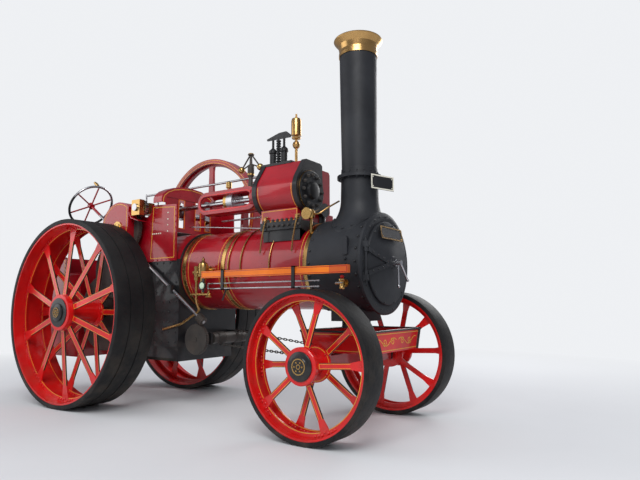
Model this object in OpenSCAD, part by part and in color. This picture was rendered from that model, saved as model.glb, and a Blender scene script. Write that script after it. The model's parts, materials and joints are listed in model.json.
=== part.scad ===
// Steam traction engine, full size, in mm.
// Forwards is +x, the driver's left is +y and up is +z; the ground is z = 0.
// Every module is drawn about the rear axle at x = 0 and the whole is then shifted to the middle of its length.

/* [Wheels] */
// radius of the rear wheels over the tread
rear_r = 1000; // [900:5:1100]
// outer face of the rear wheels from the centre line
rear_face = 1080; // [1040:5:1120]
// width of the rear wheels
rear_w = 455; // [380:5:455]
// radius of the front wheels over the tread
front_r = 602; // [540:2:640]
// outer face of the front wheels from the centre line
front_face = 862; // [840:2:900]
// width of the front wheels
front_w = 240; // [200:5:250]
// distance between the two axles
wheelbase = 3010; // [2900:10:3100]
// radius of the rear axle
rear_axle_r = 60; // [50:1:70]
// radius of the front stub axles
stub_r = 38; // [30:1:45]
// running clearance of a wheel bore on its axle
run_gap = 0.05; // [0.02:0.01:0.1]

/* [Boiler] */
// height of the boiler axis
boiler_z = 1440; // [1400:5:1480]
// radius of the boiler cladding
barrel_r = 410; // [380:5:420]
// rear end of the barrel, at the firebox
barrel_x0 = 1120; // [1100:5:1160]
// front end of the barrel, at the smokebox
barrel_x1 = 2752; // [2700:2:2800]
// half the width of the firebox
firebox_hw = 430; // [400:5:440]
// back face of the firebox
backhead_x = 300; // [250:5:350]
// bottom of the firebox
firebox_z = 640; // [600:10:700]
// radius of the smokebox shell
smoke_r = 425; // [415:1:432]
// front face of the smokebox ring
smoke_x1 = 3322; // [3300:2:3340]

/* [Chimney] */
// middle of the chimney
chimney_x = 3060; // [3020:5:3100]
// top of the chimney
chimney_top = 3590; // [3400:10:3700]

/* [Motion] */
// middle of the crankshaft
crank_x = 575; // [550:5:600]
// height of the crankshaft and the cylinder
crank_z = 2140; // [2100:5:2160]
// the cylinder's axis from the centre line
cyl_y = -210; // [-230:5:-190]
// half the piston stroke
throw = 140; // [120:5:150]
// radius of the flywheel
fly_r = 770; // [740:5:780]
// near face of the flywheel
fly_y0 = 475; // [470:1:480]
// width of the flywheel
fly_w = 135; // [120:5:138]

/* [Steering] */
// middle of the steering barrel, along
barrel_axis_x = 1420; // [1400:5:1450]
// height of the steering barrel
barrel_axis_z = 734; // [720:2:750]
// slope of the steering shaft
steer_slope = 34.6; // [30:0.2:40]
// side of the engine on which the steering shaft runs
steer_y = -466; // [-468:1:-464]
// radius of the steering handwheel
handwheel_r = 265; // [240:5:280]

/* [Hidden] */

$fn = 64;
fit_gap = 0.3;
front_x = wheelbase + front_r;
back_x = -1400;
x_mid = (front_x + back_x) / 2;
rear_tread = 46;
front_tread = 38;
rear_rim_r = rear_r - rear_tread;
front_rim_r = front_r - front_tread;
tender_x = -1250;
tank_z0 = 470;
foot_z = 780;
coal_x = -800;
step_x = -470;
side_y = 548;
sheet = 8;
perch_z = 870;
smoke_x0 = barrel_x1;
door_r = 372;
door_x = smoke_x1 + 0.3;
hinge_y = -402;
fire_z = 1190;
wrapper_z = 1560;
plate_t = 16;
plate_y = firebox_hw + plate_t;
c34 = cos(steer_slope);
s34 = sin(steer_slope);
hand_x = -460;
hand_z = 2280;
shaft_len = 2420;
pin_x = crank_x + throw;
rod_len = 950;
cross_x = pin_x + rod_len;
shaft2_x = 290;
shaft2_z = 1930;
cyl_x0 = 2080;
cyl_x1 = 2650;
pad_z = 2445;
tray_z = 675;

// bar of round section between two points
module rod(a, b, r) {
  v = b - a;
  len = norm(v);
  translate(a) rotate([0, acos(v[2] / len), atan2(v[1], v[0])]) cylinder(r = r, h = len);
}

// round bar along x
module bar_x(r, x0, x1, y, z) {
  translate([x0, y, z]) rotate([0, 90, 0]) cylinder(r = r, h = x1 - x0);
}

// round bar along y
module bar_y(r, x, y0, y1, z) {
  translate([x, y1, z]) rotate([90, 0, 0]) cylinder(r = r, h = y1 - y0);
}

// round bar along z
module bar_z(r, x, y, z0, z1) {
  translate([x, y, z0]) cylinder(r = r, h = z1 - z0);
}

// box between two corners
module box(a, b) {
  translate(a) cube(b - a);
}

// flat outline in the x-z plane, given thickness along y
module plate_xz(pts, y0, y1) {
  translate([0, y1, 0]) rotate([90, 0, 0]) linear_extrude(y1 - y0) polygon(pts);
}

// flat outline in the y-z plane, given thickness along x
module plate_yz(pts, x0, x1) {
  translate([x0, 0, 0]) rotate([90, 0, 90]) linear_extrude(x1 - x0) polygon(pts);
}

// pipe through a list of points with rounded elbows
module pipe(pts, r) {
  for (i = [0:len(pts) - 2]) rod(pts[i], pts[i + 1], r);
  for (i = [1:1:len(pts) - 2]) translate(pts[i]) sphere(r = r);
}

// ring turned about the y axis
module ring_y(r0, r1, y0, y1) {
  translate([0, y1, 0]) rotate([90, 0, 0]) difference() {
    cylinder(r = r1, h = y1 - y0);
    translate([0, 0, -1]) cylinder(r = r0, h = y1 - y0 + 2);
  }
}

module boiler_barrel() color([0.62, 0.05, 0.09]) {
  bar_x(barrel_r, barrel_x0, barrel_x1, 0, boiler_z);
}

module boiler_bands() color([0.78, 0.60, 0.24]) {
  for (x = [barrel_x0 + 20, 1640, 2050, barrel_x1 - 45]) translate([x, 0, boiler_z]) rotate([0, 90, 0])
    difference() {
      cylinder(r = barrel_r + 3, h = 45);
      translate([0, 0, -1]) cylinder(r = barrel_r, h = 47);
    }
}

module firebox() color([0.09, 0.09, 0.10]) {
  difference() {
    union() {
      box([backhead_x, -firebox_hw, firebox_z], [barrel_x0, firebox_hw, wrapper_z]);
      bar_x(firebox_hw, backhead_x, barrel_x0, 0, boiler_z);
      box([backhead_x + 30, -firebox_hw + 30, firebox_z - 150], [barrel_x0 - 30, firebox_hw - 30, firebox_z]);
    }
    box([backhead_x + 45, -firebox_hw + 45, firebox_z - 142], [barrel_x0 - 45, firebox_hw - 45, boiler_z + 40]);
    box([backhead_x - 1, -150, fire_z - 110], [backhead_x + 60, 150, fire_z + 110]);
  }
}

module smokebox() color([0.14, 0.14, 0.15]) {
  difference() {
    union() {
      bar_x(smoke_r, smoke_x0, smoke_x1 - 30, 0, boiler_z);
      bar_x(smoke_r + 15, smoke_x1 - 30, smoke_x1, 0, boiler_z);
    }
    bar_x(smoke_r - 14, smoke_x0 + 16, smoke_x1 - 22, 0, boiler_z);
    bar_x(330, smoke_x1 - 40, smoke_x1 + 1, 0, boiler_z);
    bar_z(140, chimney_x, 0, boiler_z, boiler_z + smoke_r + 20);
  }
  for (dz = [-140, 140]) difference() {
    box([smoke_x1, hinge_y - 18, boiler_z + dz - 25], [smoke_x1 + 46, hinge_y + 4, boiler_z + dz + 25]);
    bar_z(9 + run_gap, smoke_x1 + 24, hinge_y - 4, boiler_z + dz - 26, boiler_z + dz + 26);
  }
}

module perch_bracket() color([0.11, 0.11, 0.12]) {
  difference() {
    union() {
      box([wheelbase - 150, -190, perch_z + 60], [wheelbase + 150, 190, boiler_z - 360]);
      bar_z(130, wheelbase, 0, perch_z, perch_z + 62);
    }
    bar_x(smoke_r, smoke_x0 - 10, smoke_x1, 0, boiler_z);
    bar_z(35 + run_gap, wheelbase, 0, perch_z - 1, perch_z + 100);
  }
}

module chimney() color([0.13, 0.13, 0.14]) {
  difference() {
    translate([chimney_x, 0, 0]) rotate_extrude() polygon([[140, 1700], [225, 1700], [222, 1880], [198, 1960],
      [178, 2050], [170, 2230], [205, 2232], [205, 2262], [162, 2264], [178, 3420], [140, 3420]]);
    bar_x(smoke_r, smoke_x0 - 100, smoke_x1 + 100, 0, boiler_z);
  }
}

module chimney_cap() color([0.80, 0.52, 0.22]) {
  translate([chimney_x, 0, 0]) rotate_extrude() polygon([[140, 3420], [184, 3420], [184, 3450], [180, 3480],
    [190, 3530], [228, 3575], [232, 3582], [228, chimney_top], [205, chimney_top], [165, 3540], [140, 3500]]);
}

module cylinder_block() color([0.60, 0.05, 0.08]) {
  difference() {
    union() {
      bar_x(212, cyl_x0 + 20, cyl_x1 - 20, cyl_y, crank_z + 10);
      bar_x(212, cyl_x0 + 20, cyl_x1 - 20, cyl_y, crank_z + 85);
      box([cyl_x0 + 20, cyl_y - 212, crank_z + 10], [cyl_x1 - 20, cyl_y + 212, crank_z + 85]);
      box([cyl_x0 + 60, -10, 1960], [cyl_x1 - 60, 235, 2440]);
      box([cyl_x0 + 40, -330, 1780], [cyl_x1 - 40, 270, 1965]);
      box([2110, -235, 2400], [2480, -105, pad_z]);
    }
    bar_x(barrel_r, cyl_x0, cyl_x1, 0, boiler_z);
  }
  bar_x(215, cyl_x1 - 20, cyl_x1, cyl_y, crank_z);
  bar_x(185, cyl_x1, cyl_x1 + 22, cyl_y, crank_z);
  bar_x(150, cyl_x0, cyl_x0 + 20, cyl_y, crank_z);
}

module safety_valves() color([0.08, 0.08, 0.09]) {
  bar_z(62, 2225, -170, pad_z, 2540);
  box([2120, -215, 2540], [2345, -125, 2565]);
  bar_z(34, 2160, -170, 2565, 2760);
  bar_z(34, 2300, -170, 2565, 2760);
  box([2100, -178, 2760], [2345, -162, 2790]);
}

module whistle() color([0.80, 0.62, 0.28]) {
  bar_z(14, 2450, -170, pad_z, 2660);
  bar_z(32, 2450, -170, 2660, 2900);
  bar_z(10, 2450, -170, 2900, 2990);
}

module trunk_guide() color([0.58, 0.05, 0.08]) {
  difference() {
    bar_x(122, 1240, cyl_x0, cyl_y, crank_z);
    bar_x(100, 1239, cyl_x0 - 30, cyl_y, crank_z);
    bar_x(24 + fit_gap, 1239, cyl_x0 + 1, cyl_y, crank_z);
    box([1330, cyl_y - 130, crank_z - 70], [1880, cyl_y + 130, crank_z + 70]);
  }
}

module connecting_rod() color([0.72, 0.72, 0.74]) {
  difference() {
    union() {
      bar_x(26, pin_x + 40, cross_x - 40, cyl_y, crank_z);
      bar_y(70, pin_x, cyl_y - 38, cyl_y + 38, crank_z);
      bar_x(99.7, cross_x - 60, cross_x + 60, cyl_y, crank_z);
      bar_x(24, cross_x + 60, cyl_x0, cyl_y, crank_z);
    }
    bar_y(42 + run_gap, pin_x, cyl_y - 60, cyl_y + 60, crank_z);
  }
}

module hornplate() {
  difference() {
    plate_xz([[1070, 1545], [1062, 2150], [330, 2195], [240, 2130], [100, 1750], [-180, 1350], [-200, 1150],
      [-200, 820], [backhead_x, foot_z], [backhead_x, 1545]], firebox_hw, firebox_hw + 16);
    bar_y(rear_axle_r, 0, firebox_hw - 10, firebox_hw + 30, 1000);
    bar_y(90, crank_x, firebox_hw - 10, firebox_hw + 30, crank_z);
    for (s = [[shaft2_x, shaft2_z], [200, 1480]]) bar_y(45, s[0], firebox_hw - 10, firebox_hw + 30, s[1]);
  }
}

module hornplate_left() color([0.60, 0.05, 0.08]) hornplate();

module hornplate_right() color([0.60, 0.05, 0.08]) mirror([0, 1, 0]) hornplate();

module spectacle_plate() color([0.58, 0.05, 0.08]) {
  difference() {
    box([862, -firebox_hw, 1880], [876, firebox_hw, 2300]);
    for (y = [cyl_y, 35, 190]) box([850, y - 38, 1930], [890, y + 38, 2250]);
    bar_x(firebox_hw, 850, 890, 0, boiler_z);
  }
}

module crank_bearings() color([0.78, 0.60, 0.26]) {
  for (y0 = [-600, 395]) difference() {
    union() {
      if (y0 < 0) box([crank_x - 68, -600, crank_z - 85], [crank_x + 68, -535, crank_z + 85]);
      if (y0 > 0) box([crank_x - 63, 395, crank_z - 63], [crank_x + 63, 465, crank_z + 63]);
    }
    bar_y(40 + run_gap, crank_x, y0 - 10, y0 + 100, crank_z);
  }
  difference() {
    box([crank_x - 63, -465, crank_z - 63], [crank_x + 63, -395, crank_z + 63]);
    bar_y(40 + run_gap, crank_x, -480, -380, crank_z);
  }
}

module gear_guards() color([0.58, 0.05, 0.08]) {
  difference() {
    translate([shaft2_x, 0, shaft2_z]) ring_y(284, 294, -612, -486);
    box([-100, -700, 1400], [700, -400, 1800]);
    box([470, -700, 1400], [700, -400, 2250]);
  }
}

module governor() color([0.30, 0.22, 0.12]) {
  difference() {
    bar_z(30, 1900, cyl_y, crank_z + 60, 2360);
    bar_x(122, 1240, cyl_x0, cyl_y, crank_z);
  }
  bar_z(16, 1900, cyl_y, 2350, 2610);
  translate([1900, cyl_y, 2480]) sphere(r = 45);
}

module crankshaft() color([0.70, 0.70, 0.72]) {
  bar_y(40, crank_x, -618, cyl_y - 50, crank_z);
  bar_y(40, crank_x, cyl_y + 50, 640, crank_z);
  bar_y(85, crank_x, -530, -490, crank_z);
  bar_y(42, pin_x, cyl_y - 60, cyl_y + 60, crank_z);
  for (y0 = [cyl_y - 100, cyl_y + 50])
    box([crank_x - 150, y0, crank_z - 65], [pin_x + 60, y0 + 50, crank_z + 65]);
}

module gear_shafts() color([0.30, 0.30, 0.32]) {
  bar_y(45, shaft2_x, -600, 466, shaft2_z);
  bar_y(45, 200, -600, 466, 1480);
  bar_y(268, shaft2_x, -530, -490, shaft2_z);
  bar_y(132, shaft2_x, -585, -545, shaft2_z);
  bar_y(325, 200, -585, -545, 1480);
  bar_y(85, 200, -540, -490, 1480);
}

module rear_axle() color([0.25, 0.25, 0.27]) {
  bar_y(rear_axle_r, 0, -1095, 1095, 1000);
  bar_y(430, 0, -540, -490, 1000);
}

module tender() color([0.58, 0.05, 0.08]) {
  difference() {
    box([tender_x, -side_y, tank_z0], [step_x, side_y, foot_z]);
    box([tender_x + sheet, -side_y + sheet, tank_z0 + sheet], [step_x - sheet, side_y - sheet, foot_z - sheet]);
  }
  difference() {
    box([tender_x, -side_y, foot_z], [coal_x, side_y, 1650]);
    box([tender_x + sheet, -side_y + sheet, foot_z + sheet], [coal_x - sheet, side_y - sheet, 1700]);
  }
  for (m = [0, 1]) mirror([0, m, 0]) {
    box([coal_x, side_y - sheet, foot_z], [step_x, side_y, 1450]);
    box([step_x - sheet, plate_y, foot_z], [step_x, side_y - sheet, 1450]);
    box([step_x - sheet, plate_y, foot_z + 60], [-120, plate_y + sheet, 1340]);
  }
}

module footplate() color([0.12, 0.12, 0.12]) {
  box([coal_x, -side_y + sheet, foot_z], [step_x - sheet, side_y - sheet, foot_z + 10]);
  box([step_x - sheet, -firebox_hw, foot_z], [backhead_x, firebox_hw, foot_z + 10]);
}

module drawbar() color([0.12, 0.12, 0.12]) {
  difference() {
    box([back_x, -80, 640], [tender_x, 80, 700]);
    bar_z(20, back_x + 60, 0, 630, 710);
  }
}

module feed_pump() color([0.78, 0.60, 0.26]) {
  difference() {
    union() {
      box([1530, -500, 1380], [1620, -300, 1430]);
      box([1530, -500, 1200], [1620, -425, 1540]);
    }
    bar_x(barrel_r, 1500, 1700, 0, boiler_z);
  }
}

module side_rail() color([0.85, 0.30, 0.06]) {
  difference() {
    union() {
      box([1565, -570, 1348], [3270, -535, 1365]);
      for (x = [1660, 2300, 2680]) box([x, -560, 1328], [x + 20, -380, 1348]);
    }
    bar_x(barrel_r + 3 + fit_gap, 1500, smoke_x0, 0, boiler_z);
  }
}

module boiler_pipes() color([0.70, 0.42, 0.25]) {
  for (x = [1800, 1950]) translate([x, 0, boiler_z]) rotate([0, 90, 0]) rotate([0, 0, 195])
    rotate_extrude(angle = 95) translate([barrel_r + 12.3, 0]) circle(r = 12);
}

module steering_bracket() color([0.13, 0.13, 0.14]) {
  difference() {
    box([1010, steer_y - 34, 1195], [1080, -firebox_hw, 1282]);
    translate([hand_x, steer_y, hand_z]) rotate([0, 90 + steer_slope, 0])
      cylinder(r = 16 + run_gap, h = shaft_len);
  }
  for (y = [-300, 300]) difference() {
    box([barrel_x0, y - 12, barrel_axis_z - 60], [barrel_axis_x + 60, y + 12, barrel_axis_z + 60]);
    bar_y(22 + run_gap, barrel_axis_x, y - 20, y + 20, barrel_axis_z);
  }
}

module control_levers() color([0.70, 0.70, 0.72]) {
  rod([90, -405, 1150], [-20, -405, 2050], 14);
  bar_y(22, 90, -430, -385, 1150);
}

module flywheel() color([0.60, 0.05, 0.08]) translate([crank_x, 0, crank_z]) {
  ring_y(fly_r - 60, fly_r, fly_y0, fly_y0 + fly_w);
  ring_y(40 + run_gap, 110, fly_y0, fly_y0 + fly_w);
  for (a = [0:60:359]) rotate([0, a, 0]) box([-30, fly_y0 + 50, 100], [30, fly_y0 + 85, fly_r - 50]);
}

module front_axle() color([0.14, 0.14, 0.15]) {
  box([wheelbase - 60, -600, 545], [wheelbase + 60, 600, 660]);
  for (s = [-1, 1]) bar_y(stub_r, wheelbase, min(s * 590, s * 880), max(s * 590, s * 880), front_r);
  bar_z(70, wheelbase, 0, 655, perch_z);
  bar_z(35, wheelbase, 0, perch_z - 5, perch_z + 95);
  for (s = [-1, 1]) box([wheelbase - 110, s * 300 - 12, 590], [wheelbase - 60, s * 300 + 12, 614]);
}

module spud_tray() color([0.60, 0.05, 0.08]) {
  difference() {
    box([2600, -450, tray_z], [3475, 450, 842]);
    box([2610, -440, tray_z + 10], [3465, 440, 860]);
    bar_z(75, wheelbase, 0, tray_z - 10, 900);
  }
  for (s = [-1, 1]) box([wheelbase - 60, s * 300 - 40, 660], [wheelbase + 60, s * 300 + 40, tray_z]);
}

// flat spoke from the hub to the rim along +z, with a spread foot, leaning from y_hub to y_rim
module spoke(w, t, r0, r1, y_hub, y_rim) {
  lean = atan((y_rim - y_hub) / (r1 - r0));
  foot = 2.6 * w;
  translate([0, y_hub, r0]) rotate([-lean, 0, 0]) plate_xz([[-w / 2, 0], [w / 2, 0], [w / 2, r1 - r0 - foot],
    [w * 0.9, r1 - r0 - 0.4 * w], [w * 0.9, r1 - r0], [-w * 0.9, r1 - r0], [-w * 0.9, r1 - r0 - 0.4 * w],
    [-w / 2, r1 - r0 - foot]], -t / 2, t / 2);
}

// one spoked wheel about its own axle, outer face towards +y
// columns of the two rows of spokes: start angle, height on the hub, height on the rim
module wheel(rim_r, w, hub_r, flange_r, bore_r, count, spoke_w, phase, face) {
  y1 = face - 6;
  y0 = face - w + 6;
  t = 12;
  rows = [[phase, y1 - 0.10 * w, y1 - 0.27 * w], [phase + 360 / count, y0 + 0.10 * w, y0 + 0.27 * w]];
  ring_y(rim_r - 16, rim_r, y0, y1);
  ring_y(bore_r, hub_r, y0 - 5, y1 + 18);
  for (row = rows) {
    ring_y(rim_r - 58, rim_r - 8, row[2] - 7, row[2] + 7);
    ring_y(hub_r - 5, flange_r, row[1] - 8, row[1] + 8);
    for (i = [0:2:count - 1]) rotate([0, row[0] + i * 360 / count, 0])
      spoke(spoke_w, t, hub_r + 0.3 * (flange_r - hub_r), rim_r - 12, row[1], row[2]);
  }
}

module tyre(r, thick, w, face) {
  ring_y(r - thick, r, face - w, face);
}

module rear_wheel() wheel(rear_rim_r, rear_w, 115, 185, rear_axle_r + run_gap, 20, 66, 0, rear_face);

module front_wheel() wheel(front_rim_r, front_w, 85, 145, stub_r + run_gap, 10, 50, 15, front_face);

module rear_tyre() color([0.10, 0.10, 0.11]) tyre(rear_r, rear_tread, rear_w, rear_face);

module front_tyre() color([0.10, 0.10, 0.11]) tyre(front_r, front_tread, front_w, front_face);

module rear_wheel_left() color([0.80, 0.06, 0.05]) translate([0, 0, rear_r]) rear_wheel();

module rear_wheel_right() color([0.80, 0.06, 0.05]) translate([0, 0, rear_r]) mirror([0, 1, 0]) rear_wheel();

module rear_tyre_left() translate([0, 0, rear_r]) rear_tyre();

module rear_tyre_right() translate([0, 0, rear_r]) mirror([0, 1, 0]) rear_tyre();

module front_wheel_left() color([0.80, 0.06, 0.05]) translate([wheelbase, 0, front_r]) front_wheel();

module front_wheel_right() color([0.80, 0.06, 0.05]) translate([wheelbase, 0, front_r]) mirror([0, 1, 0])
  front_wheel();

module front_tyre_left() translate([wheelbase, 0, front_r]) front_tyre();

module front_tyre_right() translate([wheelbase, 0, front_r]) mirror([0, 1, 0]) front_tyre();

module smokebox_door() color([0.13, 0.13, 0.14]) {
  bar_x(door_r, door_x, door_x + 22, 0, boiler_z);
  bar_x(300, door_x + 22, door_x + 40, 0, boiler_z);
  bar_z(9, smoke_x1 + 24, hinge_y - 4, boiler_z - 190, boiler_z + 190);
  for (dz = [-60, 60]) box([door_x + 22, hinge_y - 4, boiler_z + dz - 20], [door_x + 36, -200, boiler_z + dz + 20]);
}

module fire_door() color([0.12, 0.12, 0.13]) {
  box([backhead_x - 22, -170, fire_z - 130], [backhead_x - 0.3, 170, fire_z + 130]);
}

module steering_wheel() color([0.10, 0.10, 0.11]) {
  translate([hand_x, steer_y, hand_z]) rotate([0, 90 + steer_slope, 0]) {
    rotate_extrude() translate([handwheel_r, 0]) circle(r = 14);
    translate([0, 0, -25]) cylinder(r = 35, h = 50);
    for (a = [0:60:359]) rotate([0, 0, a]) rod([30, 0, 0], [handwheel_r, 0, 0], 9);
    cylinder(r = 16, h = shaft_len);
  }
}

module steering_barrel() color([0.15, 0.15, 0.16]) {
  bar_y(22, barrel_axis_x, -478, 330, barrel_axis_z);
  bar_y(58, barrel_axis_x, -250, 250, barrel_axis_z);
  bar_y(150, barrel_axis_x, -470, -430, barrel_axis_z);
}

module chain(s) {
  rod([barrel_axis_x, s * 120, barrel_axis_z + s * 68], [wheelbase - 150, s * 295.4, 607], 8);
}

module steering_chain_left() color([0.2, 0.2, 0.22]) chain(1);

module steering_chain_right() color([0.2, 0.2, 0.22]) chain(-1);

// the whole engine is moved so that the middle of its length is at the origin
module home() translate([-x_mid, 0, 0]) children();

home() boiler_barrel();
home() boiler_bands();
home() firebox();
home() smokebox();
home() perch_bracket();
home() chimney();
home() chimney_cap();
home() cylinder_block();
home() safety_valves();
home() whistle();
home() trunk_guide();
home() connecting_rod();
home() hornplate_left();
home() hornplate_right();
home() spectacle_plate();
home() crank_bearings();
home() gear_guards();
home() governor();
home() crankshaft();
home() gear_shafts();
home() rear_axle();
home() tender();
home() footplate();
home() drawbar();
home() feed_pump();
home() side_rail();
home() boiler_pipes();
home() steering_bracket();
home() control_levers();
home() flywheel();
home() front_axle();
home() spud_tray();
home() front_wheel_left();
home() front_tyre_left();
home() front_wheel_right();
home() front_tyre_right();
home() rear_wheel_left();
home() rear_tyre_left();
home() rear_wheel_right();
home() rear_tyre_right();
home() smokebox_door();
home() fire_door();
home() steering_wheel();
home() steering_barrel();
home() steering_chain_left();
home() steering_chain_right();
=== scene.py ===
# %% [markdown]
# # A steam traction engine: paint, brass, rivets and lining
# A traction engine is a boiler on wheels that carries its own engine on top. Its solid parts come from the
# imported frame. This lesson gives them their surfaces, gives some of them a finer shape and adds the small
# trim. Shapes are written in millimetres about the rear axle, as on a drawing, and `put` turns them into
# metres about the frame's origin.

# %% imports and frame
import json
import math

import bmesh
import bpy
import numpy as np
from mathutils import Matrix, Vector


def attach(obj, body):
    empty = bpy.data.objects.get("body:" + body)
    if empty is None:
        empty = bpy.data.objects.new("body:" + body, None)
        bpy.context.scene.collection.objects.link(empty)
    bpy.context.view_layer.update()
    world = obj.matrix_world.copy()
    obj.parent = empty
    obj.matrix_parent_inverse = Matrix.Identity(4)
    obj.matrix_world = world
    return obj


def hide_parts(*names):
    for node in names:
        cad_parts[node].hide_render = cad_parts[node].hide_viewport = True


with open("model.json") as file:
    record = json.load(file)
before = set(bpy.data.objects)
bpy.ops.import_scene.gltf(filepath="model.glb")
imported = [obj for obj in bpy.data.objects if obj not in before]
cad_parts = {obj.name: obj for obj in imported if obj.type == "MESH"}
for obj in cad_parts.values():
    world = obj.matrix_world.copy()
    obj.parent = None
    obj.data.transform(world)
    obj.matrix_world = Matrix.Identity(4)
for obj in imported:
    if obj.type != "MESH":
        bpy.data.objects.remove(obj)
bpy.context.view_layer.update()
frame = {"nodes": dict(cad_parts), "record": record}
# from the rear axle to the frame's origin, in metres
MID = 1.106
SIDES = ((1, "left"), (-1, "right"))
made = []
print("nodes:", len(frame["nodes"]))

# %% driving sizes, in mm
AXLE_X, FRONT_R, REAR_R = 3010.0, 602.0, 1000.0
BOILER_Z, BARREL_R, SMOKE_R = 1440.0, 410.0, 425.0
SMOKE_X0, SMOKE_X1 = 2752.0, 3322.0
CHIMNEY_X, NECK_Z = 3060.0, 2232.0
CRANK_X, CRANK_Z, CYL_Y = 575.0, 2140.0, -210.0
CYL_X0, CYL_X1 = 2080.0, 2650.0
PLATE_Y = 446.0
TRAY_X0, TRAY_X1, TRAY_Z = 2740.0, 3420.0, 675.0
print("wheelbase and height of the shaft:", AXLE_X, CRANK_Z)


# %% [markdown]
# ## Shader maths
# A finish is a sum of masks and noises. Wired by hand it takes dozens of Math nodes, so `Sock` wraps a
# node's output and lets plain arithmetic make the nodes.

# %% socket arithmetic
class Sock:
    """One output of a shader node. Arithmetic on it makes Math nodes."""

    def __init__(self, tree, out):
        self.tree = tree
        self.out = out

    def node(self, kind, ins=(), out=0, **props):
        """A new node: its settings first, then a link or a value for each of its sockets."""
        new = self.tree.nodes.new(kind)
        for key, value in props.items():
            setattr(new, key, value)
        for name, value in dict(ins).items():
            if isinstance(value, Sock):
                self.tree.links.new(value.out, new.inputs[name])
            else:
                new.inputs[name].default_value = value
        return Sock(self.tree, new.outputs[out])

    def math(self, op, *others, clamp=False):
        """This socket and the others through one Math node."""
        return self.node("ShaderNodeMath", dict(enumerate((self,) + others)), operation=op, use_clamp=clamp)

    def __add__(self, other):
        return self.math("ADD", other)

    def __radd__(self, other):
        return self.math("ADD", other)

    def __sub__(self, other):
        return self.math("SUBTRACT", other)

    def __rsub__(self, other):
        return self.node("ShaderNodeMath", {0: other, 1: self}, operation="SUBTRACT")

    def __mul__(self, other):
        return self.math("MULTIPLY", other)

    def __rmul__(self, other):
        return self.math("MULTIPLY", other)

    def __gt__(self, other):
        return self.math("GREATER_THAN", other)

    def __lt__(self, other):
        return self.math("LESS_THAN", other)

    def __pow__(self, other):
        return self.math("POWER", other)

    def __rpow__(self, other):
        return self.node("ShaderNodeMath", {0: other, 1: self}, operation="POWER")

    def clamp(self):
        """This value held between 0 and 1."""
        return self.math("ADD", 0.0, clamp=True)

    def ramp(self, lo, hi):
        """0 below lo, 1 above hi and a straight line between."""
        return self.node("ShaderNodeMapRange", {"Value": self, "From Min": lo, "From Max": hi})

    def mix(self, first, second):
        """The first colour where this is 0, the second where it is 1."""
        return self.node("ShaderNodeMix", {0: self, 6: first, 7: second}, out=2, data_type="RGBA")

    def blend(self, first, second):
        """The first number where this is 0, the second where it is 1."""
        return self.node("ShaderNodeMix", {0: self, 2: first, 3: second}, data_type="FLOAT")

    def within(self, lo, hi):
        """1 between two values and 0 outside them."""
        return (self > lo) * (self < hi)


def rgb(red, green, blue):
    """A colour with full alpha."""
    return (red, green, blue, 1.0)


print("socket arithmetic ready")


# %% a material
class Paint:
    """One material: the object's own coordinates and ready noises, then a principled surface."""

    def __init__(self, name):
        self.mat = bpy.data.materials.new(name)
        self.mat.use_nodes = True
        self.tree = self.mat.node_tree
        self.bsdf = self.tree.nodes["Principled BSDF"]
        self.at = Sock(self.tree, None).node("ShaderNodeTexCoord", out=3)
        split = self.at.node("ShaderNodeSeparateXYZ", {0: self.at})
        x, self.y, self.z = (Sock(self.tree, o) for o in split.out.node.outputs)
        self.x = x + MID

    def noise(self, scale, detail=3.0):
        """Soft random values from 0 to 1, about 1 / scale metres across."""
        ins = {"Vector": self.at, "Scale": scale, "Detail": detail, "Roughness": 0.6}
        return self.at.node("ShaderNodeTexNoise", ins)

    def finish(self, color, rough=0.5, metal=0.0, coat=0.0, bump=None, bump_m=0.0005):
        """The principled surface with these values or links, and a bump that is bump_m metres high."""
        sockets = self.bsdf.inputs
        for key, value in (("Base Color", color), ("Roughness", rough), ("Metallic", metal),
                           ("Coat Weight", coat)):
            if isinstance(value, Sock):
                self.tree.links.new(value.out, sockets[key])
            else:
                sockets[key].default_value = value
        sockets["Coat Roughness"].default_value = 0.06
        sockets["Specular IOR Level"].default_value = 0.32
        if bump is not None:
            out = self.at.node("ShaderNodeBump", {"Height": bump, "Distance": bump_m, "Strength": 1.0})
            self.tree.links.new(out.out, sockets["Normal"])
        return self.mat


print("paint helper ready")

# %% [markdown]
# ## Finishes
# Such an engine is painted in deep crimson with scarlet wheels, lined in gold, and blackened where it gets
# hot. A separate node tree for each would repeat itself, so a finish is one row of numbers, and `surface`
# lays finishes over each other by masks of position: one casting can be black below a line and crimson
# above it. Dust from the road fades in towards the ground.

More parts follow.
